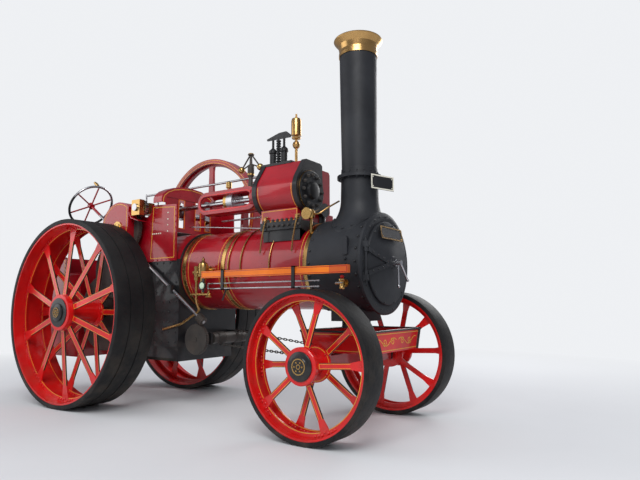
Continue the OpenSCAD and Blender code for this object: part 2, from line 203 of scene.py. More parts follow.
# %% finishes
# columns: first colour, second colour, roughness, metal, coat, bump scale, bump height in metres
LOOKS = {
    "crimson": (rgb(0.38, 0.002, 0.010), rgb(0.20, 0.001, 0.006), 0.22, 0.0, 0.7, 60.0, 0.0004),
    "scarlet": (rgb(0.70, 0.006, 0.006), rgb(0.44, 0.004, 0.005), 0.28, 0.0, 0.5, 60.0, 0.0004),
    "black": (rgb(0.008, 0.008, 0.009), rgb(0.020, 0.020, 0.022), 0.32, 0.0, 0.3, 60.0, 0.0004),
    "smoke": (rgb(0.014, 0.015, 0.018), rgb(0.028, 0.030, 0.035), 0.44, 0.0, 0.0, 40.0, 0.0010),
    "brass": (rgb(0.66, 0.42, 0.15), rgb(0.34, 0.19, 0.07), 0.2, 1.0, 0.0, 90.0, 0.0002),
    "copper": (rgb(0.66, 0.40, 0.15), rgb(0.30, 0.16, 0.06), 0.2, 1.0, 0.0, 90.0, 0.0002),
    "steel": (rgb(0.60, 0.60, 0.62), rgb(0.30, 0.29, 0.29), 0.2, 1.0, 0.0, 90.0, 0.0002),
    "rubber": (rgb(0.005, 0.005, 0.006), rgb(0.020, 0.019, 0.018), 0.55, 0.0, 0.0, 30.0, 0.003),
    "orange": (rgb(0.86, 0.20, 0.006), rgb(0.62, 0.12, 0.005), 0.34, 0.0, 0.1, 60.0, 0.0004),
    # a darker, redder orange, used on the side rail's front end
    "rust": (rgb(0.58, 0.10, 0.012), rgb(0.45, 0.07, 0.01), 0.35, 0.0, 0.2, 60.0, 0.0004),
    "gold": (rgb(0.80, 0.42, 0.05), rgb(0.58, 0.27, 0.03), 0.38, 0.0, 0.1, 60.0, 0.0002),
    "iron": (rgb(0.045, 0.042, 0.040), rgb(0.11, 0.09, 0.075), 0.42, 0.3, 0.0, 70.0, 0.0010),
    "soot": (rgb(0.010, 0.009, 0.008), rgb(0.03, 0.025, 0.02), 0.85, 0.0, 0.0, 30.0, 0.003),
    "cream": (rgb(0.80, 0.77, 0.66), rgb(0.66, 0.62, 0.50), 0.4, 0.0, 0.3, 60.0, 0.0002),
    "glass": (rgb(0.45, 0.60, 0.42), rgb(0.60, 0.72, 0.55), 0.12, 0.0, 0.9, 60.0, 0.0001),
}
ROAD_DUST = rgb(0.16, 0.12, 0.085)


def surface(name, base, *layers):
    """A material of one look, with (mask, look) layers over it. A mask is a function of the Paint."""
    p = Paint(name)
    broad, fine = p.noise(2.2, 5.0), p.noise(11.0)
    first, second, rough, metal, coat, scale, height = LOOKS[base]
    color = broad.ramp(0.36, 0.72).mix(first, second)
    for mask, look in layers:
        there = mask(p)
        over, under, rough_2, metal_2, coat_2 = LOOKS[look][:5]
        color = there.mix(color, broad.ramp(0.36, 0.72).mix(over, under))
        rough = there.blend(rough, rough_2)
        metal = there.blend(metal, metal_2)
        coat = there.blend(coat, coat_2)
    dust = (p.z.ramp(1.1, 0.1) * p.noise(5.0, 6.0).ramp(0.45, 0.75)) * 0.35
    color = dust.mix(color, ROAD_DUST)
    return p.finish(color, rough=fine * 0.16 + rough, metal=metal, coat=coat, bump=p.noise(scale, 4.0),
                    bump_m=height)


PLAIN = {look: surface(look + "_finish", look) for look in LOOKS}
print("plain finishes:", len(PLAIN))

# %% finishes of the frame's nodes
HAND_AT, SPOKE_REACH = (-0.46, -0.466, 2.28), 0.247


def by_handwheel(p):
    """Inside a ball about the handwheel's middle: the distance squared is below SPOKE_REACH squared."""
    x, y, z = HAND_AT
    return (p.x - x) ** 2 + (p.y - y) ** 2 + (p.z - z) ** 2 < SPOKE_REACH ** 2


SPECIAL = {
    "firebox": surface("firebox_finish", "black",
                       (lambda p: (p.z > 1.56) * (p.x < 1.10), "crimson"),
                       (lambda p: p.x.within(0.36, 1.06) * (p.z < 0.52), "soot")),
    "crank_bearings": surface("bearing_finish", "brass"),
    "connecting_rod": surface("rod_finish", "steel", (lambda p: p.x.within(1.60, 1.645), "brass")),
    "footplate": surface("footplate_finish", "iron"),
    "front_axle": surface("axle_finish", "black",
                          (lambda p: (p.z < 0.662) * p.y.within(-0.56, 0.56), "crimson")),
    "steering_wheel": surface("handwheel_finish", "steel", (lambda p: p.x < -0.40, "black"),
                              (by_handwheel, "crimson")),
    "smokebox_door": surface("door_finish", "smoke"),
}
RECORD_LOOK = {"smoke_black": "smoke"}
for part in frame["record"]["subparts"]:
    node, slot = part["node"], part["material_slot"]
    mesh = frame["nodes"][node].data
    mesh.materials.clear()
    mesh.materials.append(SPECIAL.get(node) or PLAIN[RECORD_LOOK.get(slot, slot)])
print("finishes:", len(PLAIN) + len(SPECIAL))

# %% [markdown]
# ## Shapes
# A shape here is a pair: an array of points and a list of face arrays, each with faces of one number of
# corners. Blender's own operators could turn or extrude an outline, but arrays are quicker and say the
# formula. A turned shape is the surface (r cos a, r sin a, z) over the points (r, z) of a profile.

# %% outlines and turned shapes
def arc(cx, cy, r, a0, a1, n=12):
    """Points (cx + r cos a, cy + r sin a) for n + 1 even angles, in degrees."""
    angle = np.radians(np.linspace(a0, a1, n + 1))
    return np.stack([cx + r * np.cos(angle), cy + r * np.sin(angle)], 1)


def grid(rows, columns):
    """The row and column numbers of a grid, flat."""
    return (g.ravel() for g in np.meshgrid(np.arange(rows), np.arange(columns), indexing="ij"))


def lathe(profile, seg=48):
    """Turn (r, z) about z. A profile that starts and ends at r = 0 gets poles; any other is a closed loop."""
    prof = np.asarray(profile, float)
    poles = prof[0, 0] == 0 and prof[-1, 0] == 0
    body = prof[1:-1] if poles else prof
    angle = np.linspace(0, 2 * np.pi, seg, endpoint=False)
    v = np.stack([np.outer(body[:, 0], np.cos(angle)), np.outer(body[:, 0], np.sin(angle)),
                  np.repeat(body[:, 1:], seg, 1)], 2).reshape(-1, 3)
    n = len(body)
    i, j = grid(n - 1 if poles else n, seg)
    k, m = (i + 1) % n, (j + 1) % seg
    faces = [np.stack([i * seg + j, i * seg + m, k * seg + m, k * seg + j], 1)]
    if poles:
        j = np.arange(seg)
        m = (j + 1) % seg
        v = np.vstack([v, [0, 0, prof[0, 1]], [0, 0, prof[-1, 1]]])
        low, top = len(v) - 2, len(v) - 1
        faces.append(np.stack([np.full(seg, low), m, j], 1))
        faces.append(np.stack([np.full(seg, top), (n - 1) * seg + j, (n - 1) * seg + m], 1))
    return v, faces


print("a turned ring of 8 steps has", len(lathe([(1, 0), (2, 0), (2, 1)], 8)[0]), "points")


# %% prisms and lofts
def prism(outline, z0, z1):
    """A flat outline (u, v) given thickness from z0 to z1."""
    p = np.asarray(outline, float)
    n = len(p)
    v = np.vstack([np.column_stack([p, np.full(n, z)]) for z in (z0, z1)])
    j = np.arange(n)
    m = (j + 1) % n
    return v, [np.stack([j, m, m + n, j + n], 1), j[None, ::-1], (j + n)[None]]


def slab(low, high):
    """A box between two corners."""
    (x0, y0, z0), (x1, y1, z1) = low, high
    return prism([(x0, y0), (x1, y0), (x1, y1), (x0, y1)], z0, z1)


def loft(rings):
    """A closed tube of ring-shaped sections; the last section joins the first."""
    n, m = rings.shape[:2]
    i, j = grid(n, m)
    k, l = (i + 1) % n, (j + 1) % m
    return rings.reshape(-1, 3), [np.stack([i * m + j, i * m + l, k * m + l, k * m + j], 1)]


print("a slab has", len(slab((0, 0, 0), (1, 1, 1))[0]), "points")


# %% turning, joining and repeating
def turned(shape, matrix, at=(0, 0, 0)):
    """The shape's points as matrix @ point + at."""
    return shape[0] @ np.asarray(matrix, float).T + np.asarray(at, float), shape[1]


def moved(shape, x, y, z):
    """The shape with its origin at a place."""
    return turned(shape, np.eye(3), (x, y, z))


def join(shapes):
    """One shape from several."""
    v, faces, start = [], [], 0
    for points, groups in shapes:
        v.append(points)
        faces += [g + start for g in groups]
        start += len(points)
    return np.vstack(v), faces


def facing(normal):
    """Three axes as columns, the third along the normal."""
    z = np.asarray(normal, float) / np.linalg.norm(normal)
    x = np.cross((0, 0, 1), z) if abs(z[2]) < 0.9 else np.cross((0, 1, 0), z)
    x /= np.linalg.norm(x)
    return np.column_stack([x, np.cross(z, x), z])


def many(shape, places, normals):
    """Copies of a shape at many places, each turned so that its z follows a normal."""
    places = np.atleast_2d(places)
    normals = np.broadcast_to(normals, places.shape)
    return join([turned(shape, facing(n), p) for p, n in zip(places, normals)])


def pair(shape_of):
    """The shapes that a function of the side gives for the right side, -1, and the left, 1."""
    return [shape_of(side) for side in (-1, 1)]


print("sides of a pair:", pair(lambda side: side))

# %% shapes along an axis
ALONG_Y = facing((0, 1, 0))
ALONG_X = facing((1, 0, 0))


def on_y(shape, x, z):
    """A shape about z laid along y, its axis at x and z."""
    return turned(shape, ALONG_Y, (x, 0, z))


def on_x(shape, y, z):
    """A shape about z laid along x, its axis at y and z."""
    return turned(shape, ALONG_X, (0, y, z))


def plate_y(outline, y0, y1):
    """An outline in x and z with thickness along y."""
    return turned(prism(outline, y0, y1), [(1, 0, 0), (0, 0, 1), (0, 1, 0)])


def plate_x(outline, x0, x1):
    """An outline in y and z with thickness along x."""
    return turned(prism(outline, x0, x1), ALONG_X)


def mirror(shape, side):
    """The shape, or its image on the other side."""
    return shape[0] * (1, side, 1), shape[1]


def on_right(shape, x, z):
    """A shape about z laid along y so that its z points to the right side, its axis at x and z."""
    return mirror(on_y(shape, x, z), -1)


def steps(first, last, step):
    """Even angles from first, below last, in radians."""
    return np.radians(np.arange(first, last, step))


print("angles of a hexagon:", len(steps(0, 360, 60)))


# %% bars
def tube(points, r, seg=12, soft=0.0):
    """A round bar along a path: rings of radius r square to it. Corners are cut by arcs of the size soft."""
    p = np.asarray(points, float)
    if soft:
        mid = [p[:1]]
        for a, b, c in zip(p[:-2], p[1:-1], p[2:]):
            u, w = (a - b) / np.linalg.norm(a - b), (c - b) / np.linalg.norm(c - b)
            t = np.linspace(0, 1, 6)[:, None]
            mid.append((1 - t) ** 2 * (b + u * soft) + 2 * t * (1 - t) * b + t ** 2 * (b + w * soft))
        p = np.vstack(mid + [p[-1:]])
    d = np.gradient(p, axis=0)
    d /= np.linalg.norm(d, axis=1)[:, None]
    x = np.cross(d[0], (0.31, 0.45, 0.84))
    rings, angle = [], np.linspace(0, 2 * np.pi, seg, endpoint=False)
    for q, z in zip(p, d):
        x = x - z * (x @ z)
        x /= np.linalg.norm(x)
        rings.append(q + r * (np.outer(np.cos(angle), x) + np.outer(np.sin(angle), np.cross(z, x))))
    n = len(p)
    i, j = grid(n - 1, seg)
    m = (j + 1) % seg
    ends = np.arange(seg)
    return np.vstack(rings), [np.stack([i * seg + j, i * seg + m, (i + 1) * seg + m, (i + 1) * seg + j], 1),
                              ends[None, ::-1], (ends + (n - 1) * seg)[None]]


def rod(a, b, r, seg=16):
    """A straight round bar."""
    return tube([a, b], r, seg)


print("points of a rod:", len(rod((0, 0, 0), (0, 0, 1), 1)[0]))


# %% rings, balls, nuts and heads
def ring(r0, r1, z0, z1, seg=48):
    """A flat ring about z."""
    return lathe([(r0, z0), (r1, z0), (r1, z1), (r0, z1)], seg)


def disc(r, z0, z1, seg=48):
    """A round plate about z."""
    return lathe([(0, z0), (r, z0), (r, z1), (0, z1)], seg)


def ball(r, n, seg):
    """A ball: the profile (r cos a, r sin a) in n steps between its poles, turned."""
    return lathe([(0, -r), *arc(0, 0, r, -75, 75, n), (0, r)], seg)


def upright(profile, x, y, seg=32):
    """A turned piece that stands at x and y."""
    return moved(lathe(profile, seg), x, y, 0)


def nut(size, high):
    """A hexagon nut with chamfered corners and the end of its bolt."""
    return lathe([(0, -1), (size, -1), (size, high * 0.75), (size * 0.86, high), (size * 0.5, high),
                  (size * 0.45, high * 1.25), (0, high * 1.25)], 6)


def dome(r, high):
    """A round rivet head: (r cos a, high sin a) turned in ten steps."""
    angle = np.radians([0, 30, 60])
    return lathe([(0, -1), (r, -1), *np.stack([r * np.cos(angle), high * np.sin(angle)], 1), (0, high)], 10)


print("faces of a rivet head:", sum(len(group) for group in dome(8, 6)[1]))


# %% flat lines
def strip(points, normal, width, thick=1.2, loop=True, sink=0.4):
    """A flat line of paint or beading along a path on a plane, offset at each corner along the mitre."""
    p, n = np.asarray(points, float), np.asarray(normal, float)
    n = n / np.linalg.norm(n)
    before, after = np.roll(p, 1, 0), np.roll(p, -1, 0)
    if not loop:
        before[0], after[-1] = 2 * p[0] - p[1], 2 * p[-1] - p[-2]
    d0 = (p - before) / np.linalg.norm(p - before, axis=1)[:, None]
    d1 = (after - p) / np.linalg.norm(after - p, axis=1)[:, None]
    s0, s1 = np.cross(n, d0), np.cross(n, d1)
    m = (s0 + s1) / (1 + (s0 * s1).sum(1))[:, None] * width / 2
    v = np.vstack([p + m - n * sink, p + m + n * thick, p - m + n * thick, p - m - n * sink])
    c = len(p)
    j = np.arange(c if loop else c - 1)
    k = (j + 1) % c
    faces = [np.stack([j + r * c, k + r * c, k + (r + 1) % 4 * c, j + (r + 1) % 4 * c], 1) for r in range(4)]
    if not loop:
        faces += [np.array([[0, c, 2 * c, 3 * c]]), np.array([[c - 1, 4 * c - 1, 3 * c - 1, 2 * c - 1]])]
    return v, faces


print("points of a closed line with 4 corners:", len(strip([(0, 0, 0), (9, 0, 0), (9, 9, 0), (0, 9, 0)],
                                                           (0, 0, 1), 1)[0]))


# %% from a shape to an object
def put(name, shape, look, body="engine", replaces=()):
    """Make the object in metres about the frame's origin, give it its finish and let it ride on its body."""
    v, groups = join(shape) if isinstance(shape, list) else shape
    mesh = bpy.data.meshes.new(name)
    mesh.from_pydata((v * 0.001 - (MID, 0, 0)).tolist(), [], [f for g in groups for f in g.tolist()])
    bm = bmesh.new()
    bm.from_mesh(mesh)
    bmesh.ops.recalc_face_normals(bm, faces=bm.faces)
    bm.to_mesh(mesh)
    bm.free()
    mesh.polygons.foreach_set("use_smooth", np.ones(len(mesh.polygons), bool))
    mesh.set_sharp_from_angle(angle=math.radians(32))
    mesh.materials.append(look if isinstance(look, bpy.types.Material) else PLAIN[look])
    ob = bpy.data.objects.new(name, mesh)
    bpy.context.collection.objects.link(ob)
    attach(ob, body)
    if replaces:
        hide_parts(*replaces)
    made.append((name, len(mesh.polygons)))
    return ob


print("shape helpers ready")

# %% [markdown]
# ## Wheels
# A wheel of this kind is built from two T-rings riveted inside a rim, a cast hub with two flanges, and flat
# spokes that lean from the hub's flanges to the T-rings. The spokes are in the frame already. What a
# wheelwright and a painter add is made here: the tyre's rounded shoulders and grooves, gold lines along
# each spoke, black edges, rivets at each spoke's feet and the cap over the axle's end. A point (x, y, z) of
# a spoke turns by the spoke's lean about x and by its place on the clock about y, so one spoke's trim
# serves for all of them.

# %% wheel sizes
# columns: name, axle x, radius, outer face, width, tread, hub, flange, spokes, spoke width, first angle,
# cap, axle end
WHEELS = (("rear", 0, REAR_R, 1080, 455, 46, 115, 185, 20, 66, 0, 92, 1095),
          ("front", AXLE_X, FRONT_R, 862, 240, 38, 85, 145, 10, 50, 15, 115, 880))
EDGE = 8.0
BOSS_R = 152.0
# where the heads at a spoke's feet sit, in spoke widths
FOOT_HEADS = np.array([-1.9, -1.25, -0.62, 0.62, 1.25, 1.9, 0.0, 0.0])


def spoke_lines(edge, root, tip):
    """The two gold lines along a spoke and the one across its foot, on a flat spoke that stands along z."""
    x = edge - EDGE
    along = pair(lambda s: strip([(s * x, 6, root), (s * x, 6, tip)], (0, 1, 0), 3.4, 0.8, False))
    return [*along, strip([(-x, 6, root), (x, 6, root)], (0, 1, 0), 4.5, 0.8, False)]


def spoke_heads(width, rim, flange, y_rim, y_hub):
    """Places of the rivet heads of one spoke: six on the T-ring, one on each foot."""
    x = FOOT_HEADS * width
    z = np.append(np.sqrt((rim - 33) ** 2 - x[:6] ** 2), (rim - 50, flange - 14))
    return np.column_stack([x, np.append(np.full(7, y_rim + 6.8), y_hub + 7.8), z])


def tyre_profile(name, radius, rim, low, high):
    """The tyre's section: rounded shoulders, and on a rear wheel two grooves."""
    if name == "front":
        return [(rim, low), (radius - 10, low), (radius - 3, low + 3), (radius, low + 12),
                (radius, high - 12), (radius - 3, high - 3), (radius - 10, high), (rim, high)]
    middle, half, deep = (low + high) / 2, 6.0, 9.0
    groove = [(radius - d, middle + s * 76 + t) for s in (-1, 1)
              for d, t in ((0, -half), (deep, -half + 2), (deep, half - 2), (0, half))]
    return [(rim, low), (radius - 9, low), (radius - 2, low + 3), (radius, low + 9), *groove,
            (radius, high - 9), (radius - 2, high - 3), (radius - 9, high), (rim, high)]


print("wheel helpers ready")

# %% wheels
for name, ax, radius, face, width, tread, hub, flange, count, spoke_w, first, cap_r, end in WHEELS:
    rim = radius - tread
    outer, inner = face - 6, face - width + 6
    spoke_rows = ((first, outer - 0.10 * width, outer - 0.27 * width),
                  (first + 360 / count, inner + 0.10 * width, inner + 0.27 * width))
    foot_r, top_r = hub + 0.3 * (flange - hub), rim - 12
    tip, root = top_r - foot_r - 2.6 * spoke_w, flange - foot_r + 12
    gold, dark, heads = [], [], []
    edge = spoke_w / 2
    sides = pair(lambda s: slab((s * (edge - 1.5) - 1.8, -5.5, root), (s * (edge - 1.5) + 1.8, 6.6, tip)))
    for start, y_hub, y_rim in spoke_rows:
        lean = math.atan((y_rim - y_hub) / (top_r - foot_r))
        tilt = np.array(Matrix.Rotation(-lean, 3, "X"))
        for angle in start + np.arange(0, 360, 720 / count):
            spin = np.array(Matrix.Rotation(math.radians(angle), 3, "Y"))
            at = spin @ (0, y_hub, foot_r)
            gold += [turned(line, spin @ tilt, at) for line in spoke_lines(edge, root, tip)]
            dark += [turned(side, spin @ tilt, at) for side in sides]
            places = spoke_heads(spoke_w, rim, flange, y_rim, y_hub)
            heads.append(many(dome(spoke_w * 0.23, 11), places @ spin.T, (0, 1, 0)))
        gold.append(on_y(ring(flange - 13, flange - 8, y_hub + 7.6, y_hub + 9, 72), 0, 0))
        gold.append(on_y(ring(rim - 57, rim - 52, y_rim + 6.5, y_rim + 7.8, 96), 0, 0))
    tyre = on_y(lathe(tyre_profile(name, radius, rim, face - width, face), 128), 0, 0)
    boss_r, cap_y = (BOSS_R, end + 12) if name == "rear" else (cap_r, end + 2)
    hub_y = spoke_rows[0][1] + 4
    collar = on_y(lathe([(hub - 4, hub_y), (flange + 4, hub_y), (flange + 4, end - 16),
                         (flange - 4, end - 10), (hub - 4, end - 10)], 64), 0, 0)
    cap = on_y(lathe([(0, end - 12), (boss_r, end - 12), (boss_r, end - 3), (boss_r - 6, end - 2),
                      (cap_r, end - 2), (cap_r, cap_y - 4), (cap_r - 8, cap_y + 2), (cap_r * 0.66, cap_y + 5),
                      (cap_r * 0.62, cap_y + 9), (0, cap_y + 9)], 48), 0, 0)
    trim = on_y(join([ring(cap_r * 0.48, cap_r * 0.56, cap_y + 7, cap_y + 11),
                      ring(14, 20, cap_y + 7, cap_y + 12, 24)]), 0, 0)
    screw_r = cap_r * 0.32
    screw_at = [(screw_r * math.cos(b), screw_r * math.sin(b), cap_y + 9) for b in steps(0, 360, 60)]
    screws = on_y(many(nut(cap_r * 0.07, 6), screw_at, (0, 0, 1)), 0, 0)
    for side, hand in SIDES:
        body = f"{name}_wheel_{hand}"
        for ending, shape, look in (("lines", join(gold), "gold"), ("edges", join(dark), "black"),
                                    ("rivets", join(heads), "scarlet"), ("collar", collar, "scarlet"),
                                    ("cap", cap, "black"), ("cap_rings", trim, "brass"),
                                    ("cap_nuts", screws, "brass")):
            put(f"{body}_{ending}", moved(mirror(shape, side), ax, 0, radius), look, body)
        put(f"{name}_tread_{hand}", moved(mirror(tyre, side), ax, 0, radius), "rubber", body,
            [f"{name}_tyre_{hand}"])
print("wheels dressed:", len(made), "pieces")

# %% [markdown]
# ## Chimney
# The chimney is a tube of rolled plate that widens upwards, bolted to a cast saddle. The saddle's foot
# follows the smokebox's barrel while its top is round. A boolean could cut it to fit, but a loft gives
# clean faces: at height t its section is an oval whose half axes shrink as (1 - t)^2.4 from the foot to the
# neck.

# %% chimney
FOOT_X, FOOT_Y, NECK_R, BORE_R = 205.0, 300.0, 176.0, 141.0
SADDLE_TOP, PIPE_TOP, BAND_R = 2060.0, 3420.0, 190.0
around = np.linspace(0, 2 * np.pi, 96, endpoint=False)


def shell_z(y, lift):
    """Height of the smokebox at one y: the upper half of a circle that is larger by lift."""
    return BOILER_Z + np.sqrt((SMOKE_R + lift) ** 2 - y ** 2)


def foot(spread, dz):
    """The saddle's foot: an oval larger by spread, laid on the smokebox and lifted by dz."""
    y = (FOOT_Y + spread) * np.sin(around)
    return np.stack([CHIMNEY_X + (FOOT_X + spread) * np.cos(around), y, shell_z(y, 1) + dz], 1)


def bore(z):
    """The saddle's bore at one height."""
    return np.column_stack([CHIMNEY_X + BORE_R * np.cos(around), BORE_R * np.sin(around), z + 0 * around])


rise = np.linspace(0, 1, 16)[:, None]
swell = (1 - rise) ** 2.4
wall = np.stack([CHIMNEY_X + (NECK_R + (FOOT_X - NECK_R) * swell) * np.cos(around),
                 (NECK_R + (FOOT_Y - NECK_R) * swell) * np.sin(around),
                 (shell_z(FOOT_Y * np.sin(around), 4) + 14) * (1 - rise) + SADDLE_TOP * rise], 2)
saddle = loft(np.array([foot(-60, -8), foot(30, -10), foot(30, 12), foot(6, 15), *wall[1:], bore(SADDLE_TOP),
                        bore(1800)]))
neck = [(r, NECK_Z + z) for r, z in ((171, 2), (208, 2), (208, 30), (171, 30), (170, 92), (165, 94))]
pipe = upright([(BORE_R, SADDLE_TOP - 2), (NECK_R, SADDLE_TOP - 2), *neck, (178, PIPE_TOP),
                (BORE_R, PIPE_TOP)], CHIMNEY_X, 0, 96)
put("chimney_stack", [saddle, pipe], "smoke", "engine", ["chimney"])

band = steps(0, 360, 360 / 16)
outwards = np.column_stack([np.cos(band), np.sin(band), 0 * band])
flange_at = outwards * BAND_R + (CHIMNEY_X, 0, 0)
put("chimney_bolts", [
    many(dome(14, 11), foot(12, 12)[::6], (0, 0, 1)),
    many(nut(10, 10), flange_at + (0, 0, NECK_Z + 30), (0, 0, 1)),
    many(nut(10, 10), flange_at + (0, 0, NECK_Z + 2), (0, 0, -1)),
    many(dome(8, 6), outwards * 169.5 + (CHIMNEY_X, 0, NECK_Z + 62), outwards)], "smoke")
print("chimney dressed, neck at", NECK_Z)

# %% [markdown]
# ## Smokebox
# The smokebox is a riveted drum with a stout ring in front that the door shuts against. The rivets aren't a
# bump map, because they catch the light one by one: they are small turned heads, set on circles about the
# boiler.

# %% smokebox
SHELL = steps(0, 360, 15)
RING_R, RING_X = 458.0, SMOKE_X1 - 2


def shell_points(x, r, angles):
    """Points on a circle about the boiler, the angles measured from its top."""
    return np.column_stack([np.full(len(angles), x), r * np.sin(angles), BOILER_Z + r * np.cos(angles)])


def shell_heads(x, r, head, angles):
    """Rivet heads round the boiler at one x, each facing away from the boiler's middle."""
    return many(head, shell_points(x, r, angles), shell_points(0, 1, angles) - (0, 0, BOILER_Z))


clear_of_saddle = SHELL[np.cos(SHELL) < 0.72]
drum_heads = [shell_heads(x, SMOKE_R, dome(13, 11), clear_of_saddle) for x in (SMOKE_X0 + 26, 3250)]
put("smokebox_rivets", [*drum_heads, many(dome(11, 8), shell_points(RING_X + 3, 418, SHELL), (1, 0, 0))],
    "black")
put("smokebox_ring", on_x(lathe([(374, RING_X - 30), (SMOKE_R + 16, RING_X - 34), (RING_R - 4, RING_X - 30),
                                 (RING_R, RING_X - 24), (RING_R - 2, RING_X - 6), (RING_R - 20, RING_X + 4),
                                 (400, RING_X + 7), (376, RING_X + 3)], 96), 0, BOILER_Z), "smoke")
strap = plate_y([(3135, 1500), (3180, 1500), (3180, 1640), (3170, 1656), (3145, 1656), (3135, 1640)],
                -436, -400)
put("smokebox_strap", [strap, many(nut(13, 14), [(3157, -424, z) for z in (1417, 1463)], (0, -1, 0))],
    "smoke")
print("smokebox dressed, heads in a ring:", len(SHELL))

# %% [markdown]
# ## Smokebox door
# The door is a shallow cone, so that the fire's heat doesn't warp it. One profile turned about the boiler's
# axis makes it. Two flat straps run from the hinge to the middle, and two handles pull it shut.

# %% smokebox door
CONE, DOOR_X, DOOR_R = 0.151, 3350.0, 345.0
HINGE_X, HINGE_Y = 3346.0, -404.0


def cone_x(r):
    """The x of the door's outer face at radius r: it rises evenly towards the middle."""
    return DOOR_X + (DOOR_R - r) * CONE


def on_cone(y, z, lift=0.0):
    """A point of the door's outer face."""
    return (cone_x(math.hypot(y, z - BOILER_Z)) + lift, y, z)


door = lathe([(0, 3322.6), (371, 3322.6), (371, 3338), (366, 3345), (350, 3349), (DOOR_R, cone_x(DOOR_R)),
              (60, cone_x(60)), (52, cone_x(60) + 10), (0, cone_x(60) + 12)], 96)
# columns: y and z at the hinge, y and z near the middle
ARMS = ((-385, 1337, -90, 1420), (-385, 1542, -90, 1445))
straps = [strip([(DOOR_X, y0, z0), on_cone(-330, z0 + (z1 - z0) * 0.19), on_cone(y1, z1)], (1, 0, 0), 40, 13,
                False, 8) for y0, z0, y1, z1 in ARMS]
eyes = [tube([(HINGE_X, HINGE_Y, z - 24), (HINGE_X, HINGE_Y, z + 24)], 17) for z in (1337, 1542)]
pin = tube([(HINGE_X, HINGE_Y, 1250), (HINGE_X, HINGE_Y, 1630)], 9)
put("door_face", [on_x(door, 0, BOILER_Z), *straps, *eyes, pin], "smoke", "smokebox_door", ["smokebox_door"])

PIVOT = SMOKE_X1 + 70
screw = ((0, 0), (30, 0), (30, 30), (16, 34), (16, 38), (24, 38), (24, 56), (18, 58), (18, 62), (24, 62),
         (24, 80), (0, 84))
# columns: x of the handle, y and z from the screw to its knob
GRIPS = ((PIVOT + 47, 8, -205), (PIVOT + 71, 140, -150))
handles = [s for x, y, z in GRIPS for s in (rod((x, 0, BOILER_Z), (x, y, BOILER_Z + z), 9),
                                            moved(ball(14, 8, 20), x, y, BOILER_Z + z))]
put("door_handles", [on_x(lathe([(r, PIVOT + x) for r, x in screw], 32), 0, BOILER_Z), *handles], "steel",
    "smokebox_door")
strap_heads = [on_cone(y0 + (y1 - y0) * f, z0 + (z1 - z0) * f, 12)
               for y0, z0, y1, z1 in ARMS for f in (0.25, 0.5, 0.72, 0.93)]
put("door_rivets", [many(dome(11, 9), strap_heads, (1, 0, 0)),
                    many(dome(9, 6), shell_points(DOOR_X - 1, 358, steps(15, 360, 30)), (1, 0, 0))], "black",
    "smokebox_door")
print("door's middle stands out by", round(cone_x(60) - DOOR_X), "mm")

# %% [markdown]
# ## Blank plates
# An engine carries a name plate on its door and a number plate at its chimney. Both stay blank. Each is a
# thin slab with a raised border, made flat and then turned to face its way, which keeps the border's mitres
# square.

# %% blank plates
def blank_plate(name, centre, normal, wide, high, body, rim_look):
    """A plate with a raised border and corner screws, turned so that its z follows the normal."""
    frame3 = facing(normal)
    w, h = wide / 2, high / 2
    corners = np.array([(-w, -h, 0), (w, -h, 0), (w, h, 0), (-w, h, 0)])
    put(name, turned(slab((-w, -h, -5), (w, h, 1)), frame3, centre), "black", body)
    rim = strip(corners * (1 - 7 / w, 1 - 7 / h, 1), (0, 0, 1), 11, 4)
    heads = many(dome(6, 4), [(i * (w - 24), j * (h - 24), 1) for i in (-1, 1) for j in (-1, 1)], (0, 0, 1))
    put(name + "_edge", turned(join([rim, heads]), frame3, centre), rim_look, body)


cone_slope = math.radians(8.6)
PLATE_Z = 1700.0
blank_plate("door_plate", (cone_x(260) + 20, 0, PLATE_Z), (math.cos(cone_slope), 0, math.sin(cone_slope)),
            410, 115, "smokebox_door", "brass")
put("door_plate_feet", [tube([on_cone(y, PLATE_Z, -2), on_cone(y, PLATE_Z, 17)], 12) for y in (-150, 150)],
    "brass", "smokebox_door")
blank_plate("number_plate", (3309.5, -18, 2171.5), (0.946, -0.319, 0), 279, 133, "engine", "cream")
put("number_plate_straps", [slab((3215, -35, NECK_Z - 8), (3302, -10, NECK_Z)),
                            tube([(3250, -95, NECK_Z - 4), (3290, -70, NECK_Z - 4)], 7),
                            slab((3205, 20, NECK_Z - 8), (3312, 45, NECK_Z))], "smoke")
print("front end dressed:", len(made), "pieces so far")

# %% [markdown]
# ## Boiler bands
# Sheets of cladding wrap the boiler, held by brass bands with rolled edges and set off by gold lines. Each
# is a small profile turned about the boiler's axis, a little above the barrel.

# %% boiler bands
# columns: x of the band's rear edge, its width
BANDS = ((1140, 50), (1696, 50), (2706, 46))


def rolled_edge(x):
    """The raised lip along a band's edge."""
    return lathe([(BARREL_R - 3, x - 3), (BARREL_R + 5, x - 3), (BARREL_R + 6, x), (BARREL_R + 5, x + 3),
                  (BARREL_R - 3, x + 3)], 96)


bands = [*(ring(BARREL_R - 3, BARREL_R + 3, x, x + w, 96) for x, w in BANDS),
         *(rolled_edge(e) for x, w in BANDS for e in (x, x + w))]
put("brass_bands", [on_x(s, 0, BOILER_Z) for s in bands], "brass", "engine", ["boiler_bands"])
line_x = [x for x0, w in BANDS for x in (x0 - 40, x0 + w + 34) if 1125 < x < SMOKE_X0 - 6]
put("boiler_lines", [on_x(ring(BARREL_R - 2, BARREL_R + 0.8, x, x + 5, 96), 0, BOILER_Z) for x in line_x],
    "gold")
print("bands and lines:", len(BANDS), len(line_x))

# %% [markdown]
# ## Cylinder
# The cylinder casting sits on the boiler, lagged and clad so that it keeps its heat. Its cladding is one
# outline in y and z, given length along x: a big arc on the near side, a slanted shoulder and a flat top.
# The same outline, grown all round, makes the two end flanges, so they always fit the cladding.

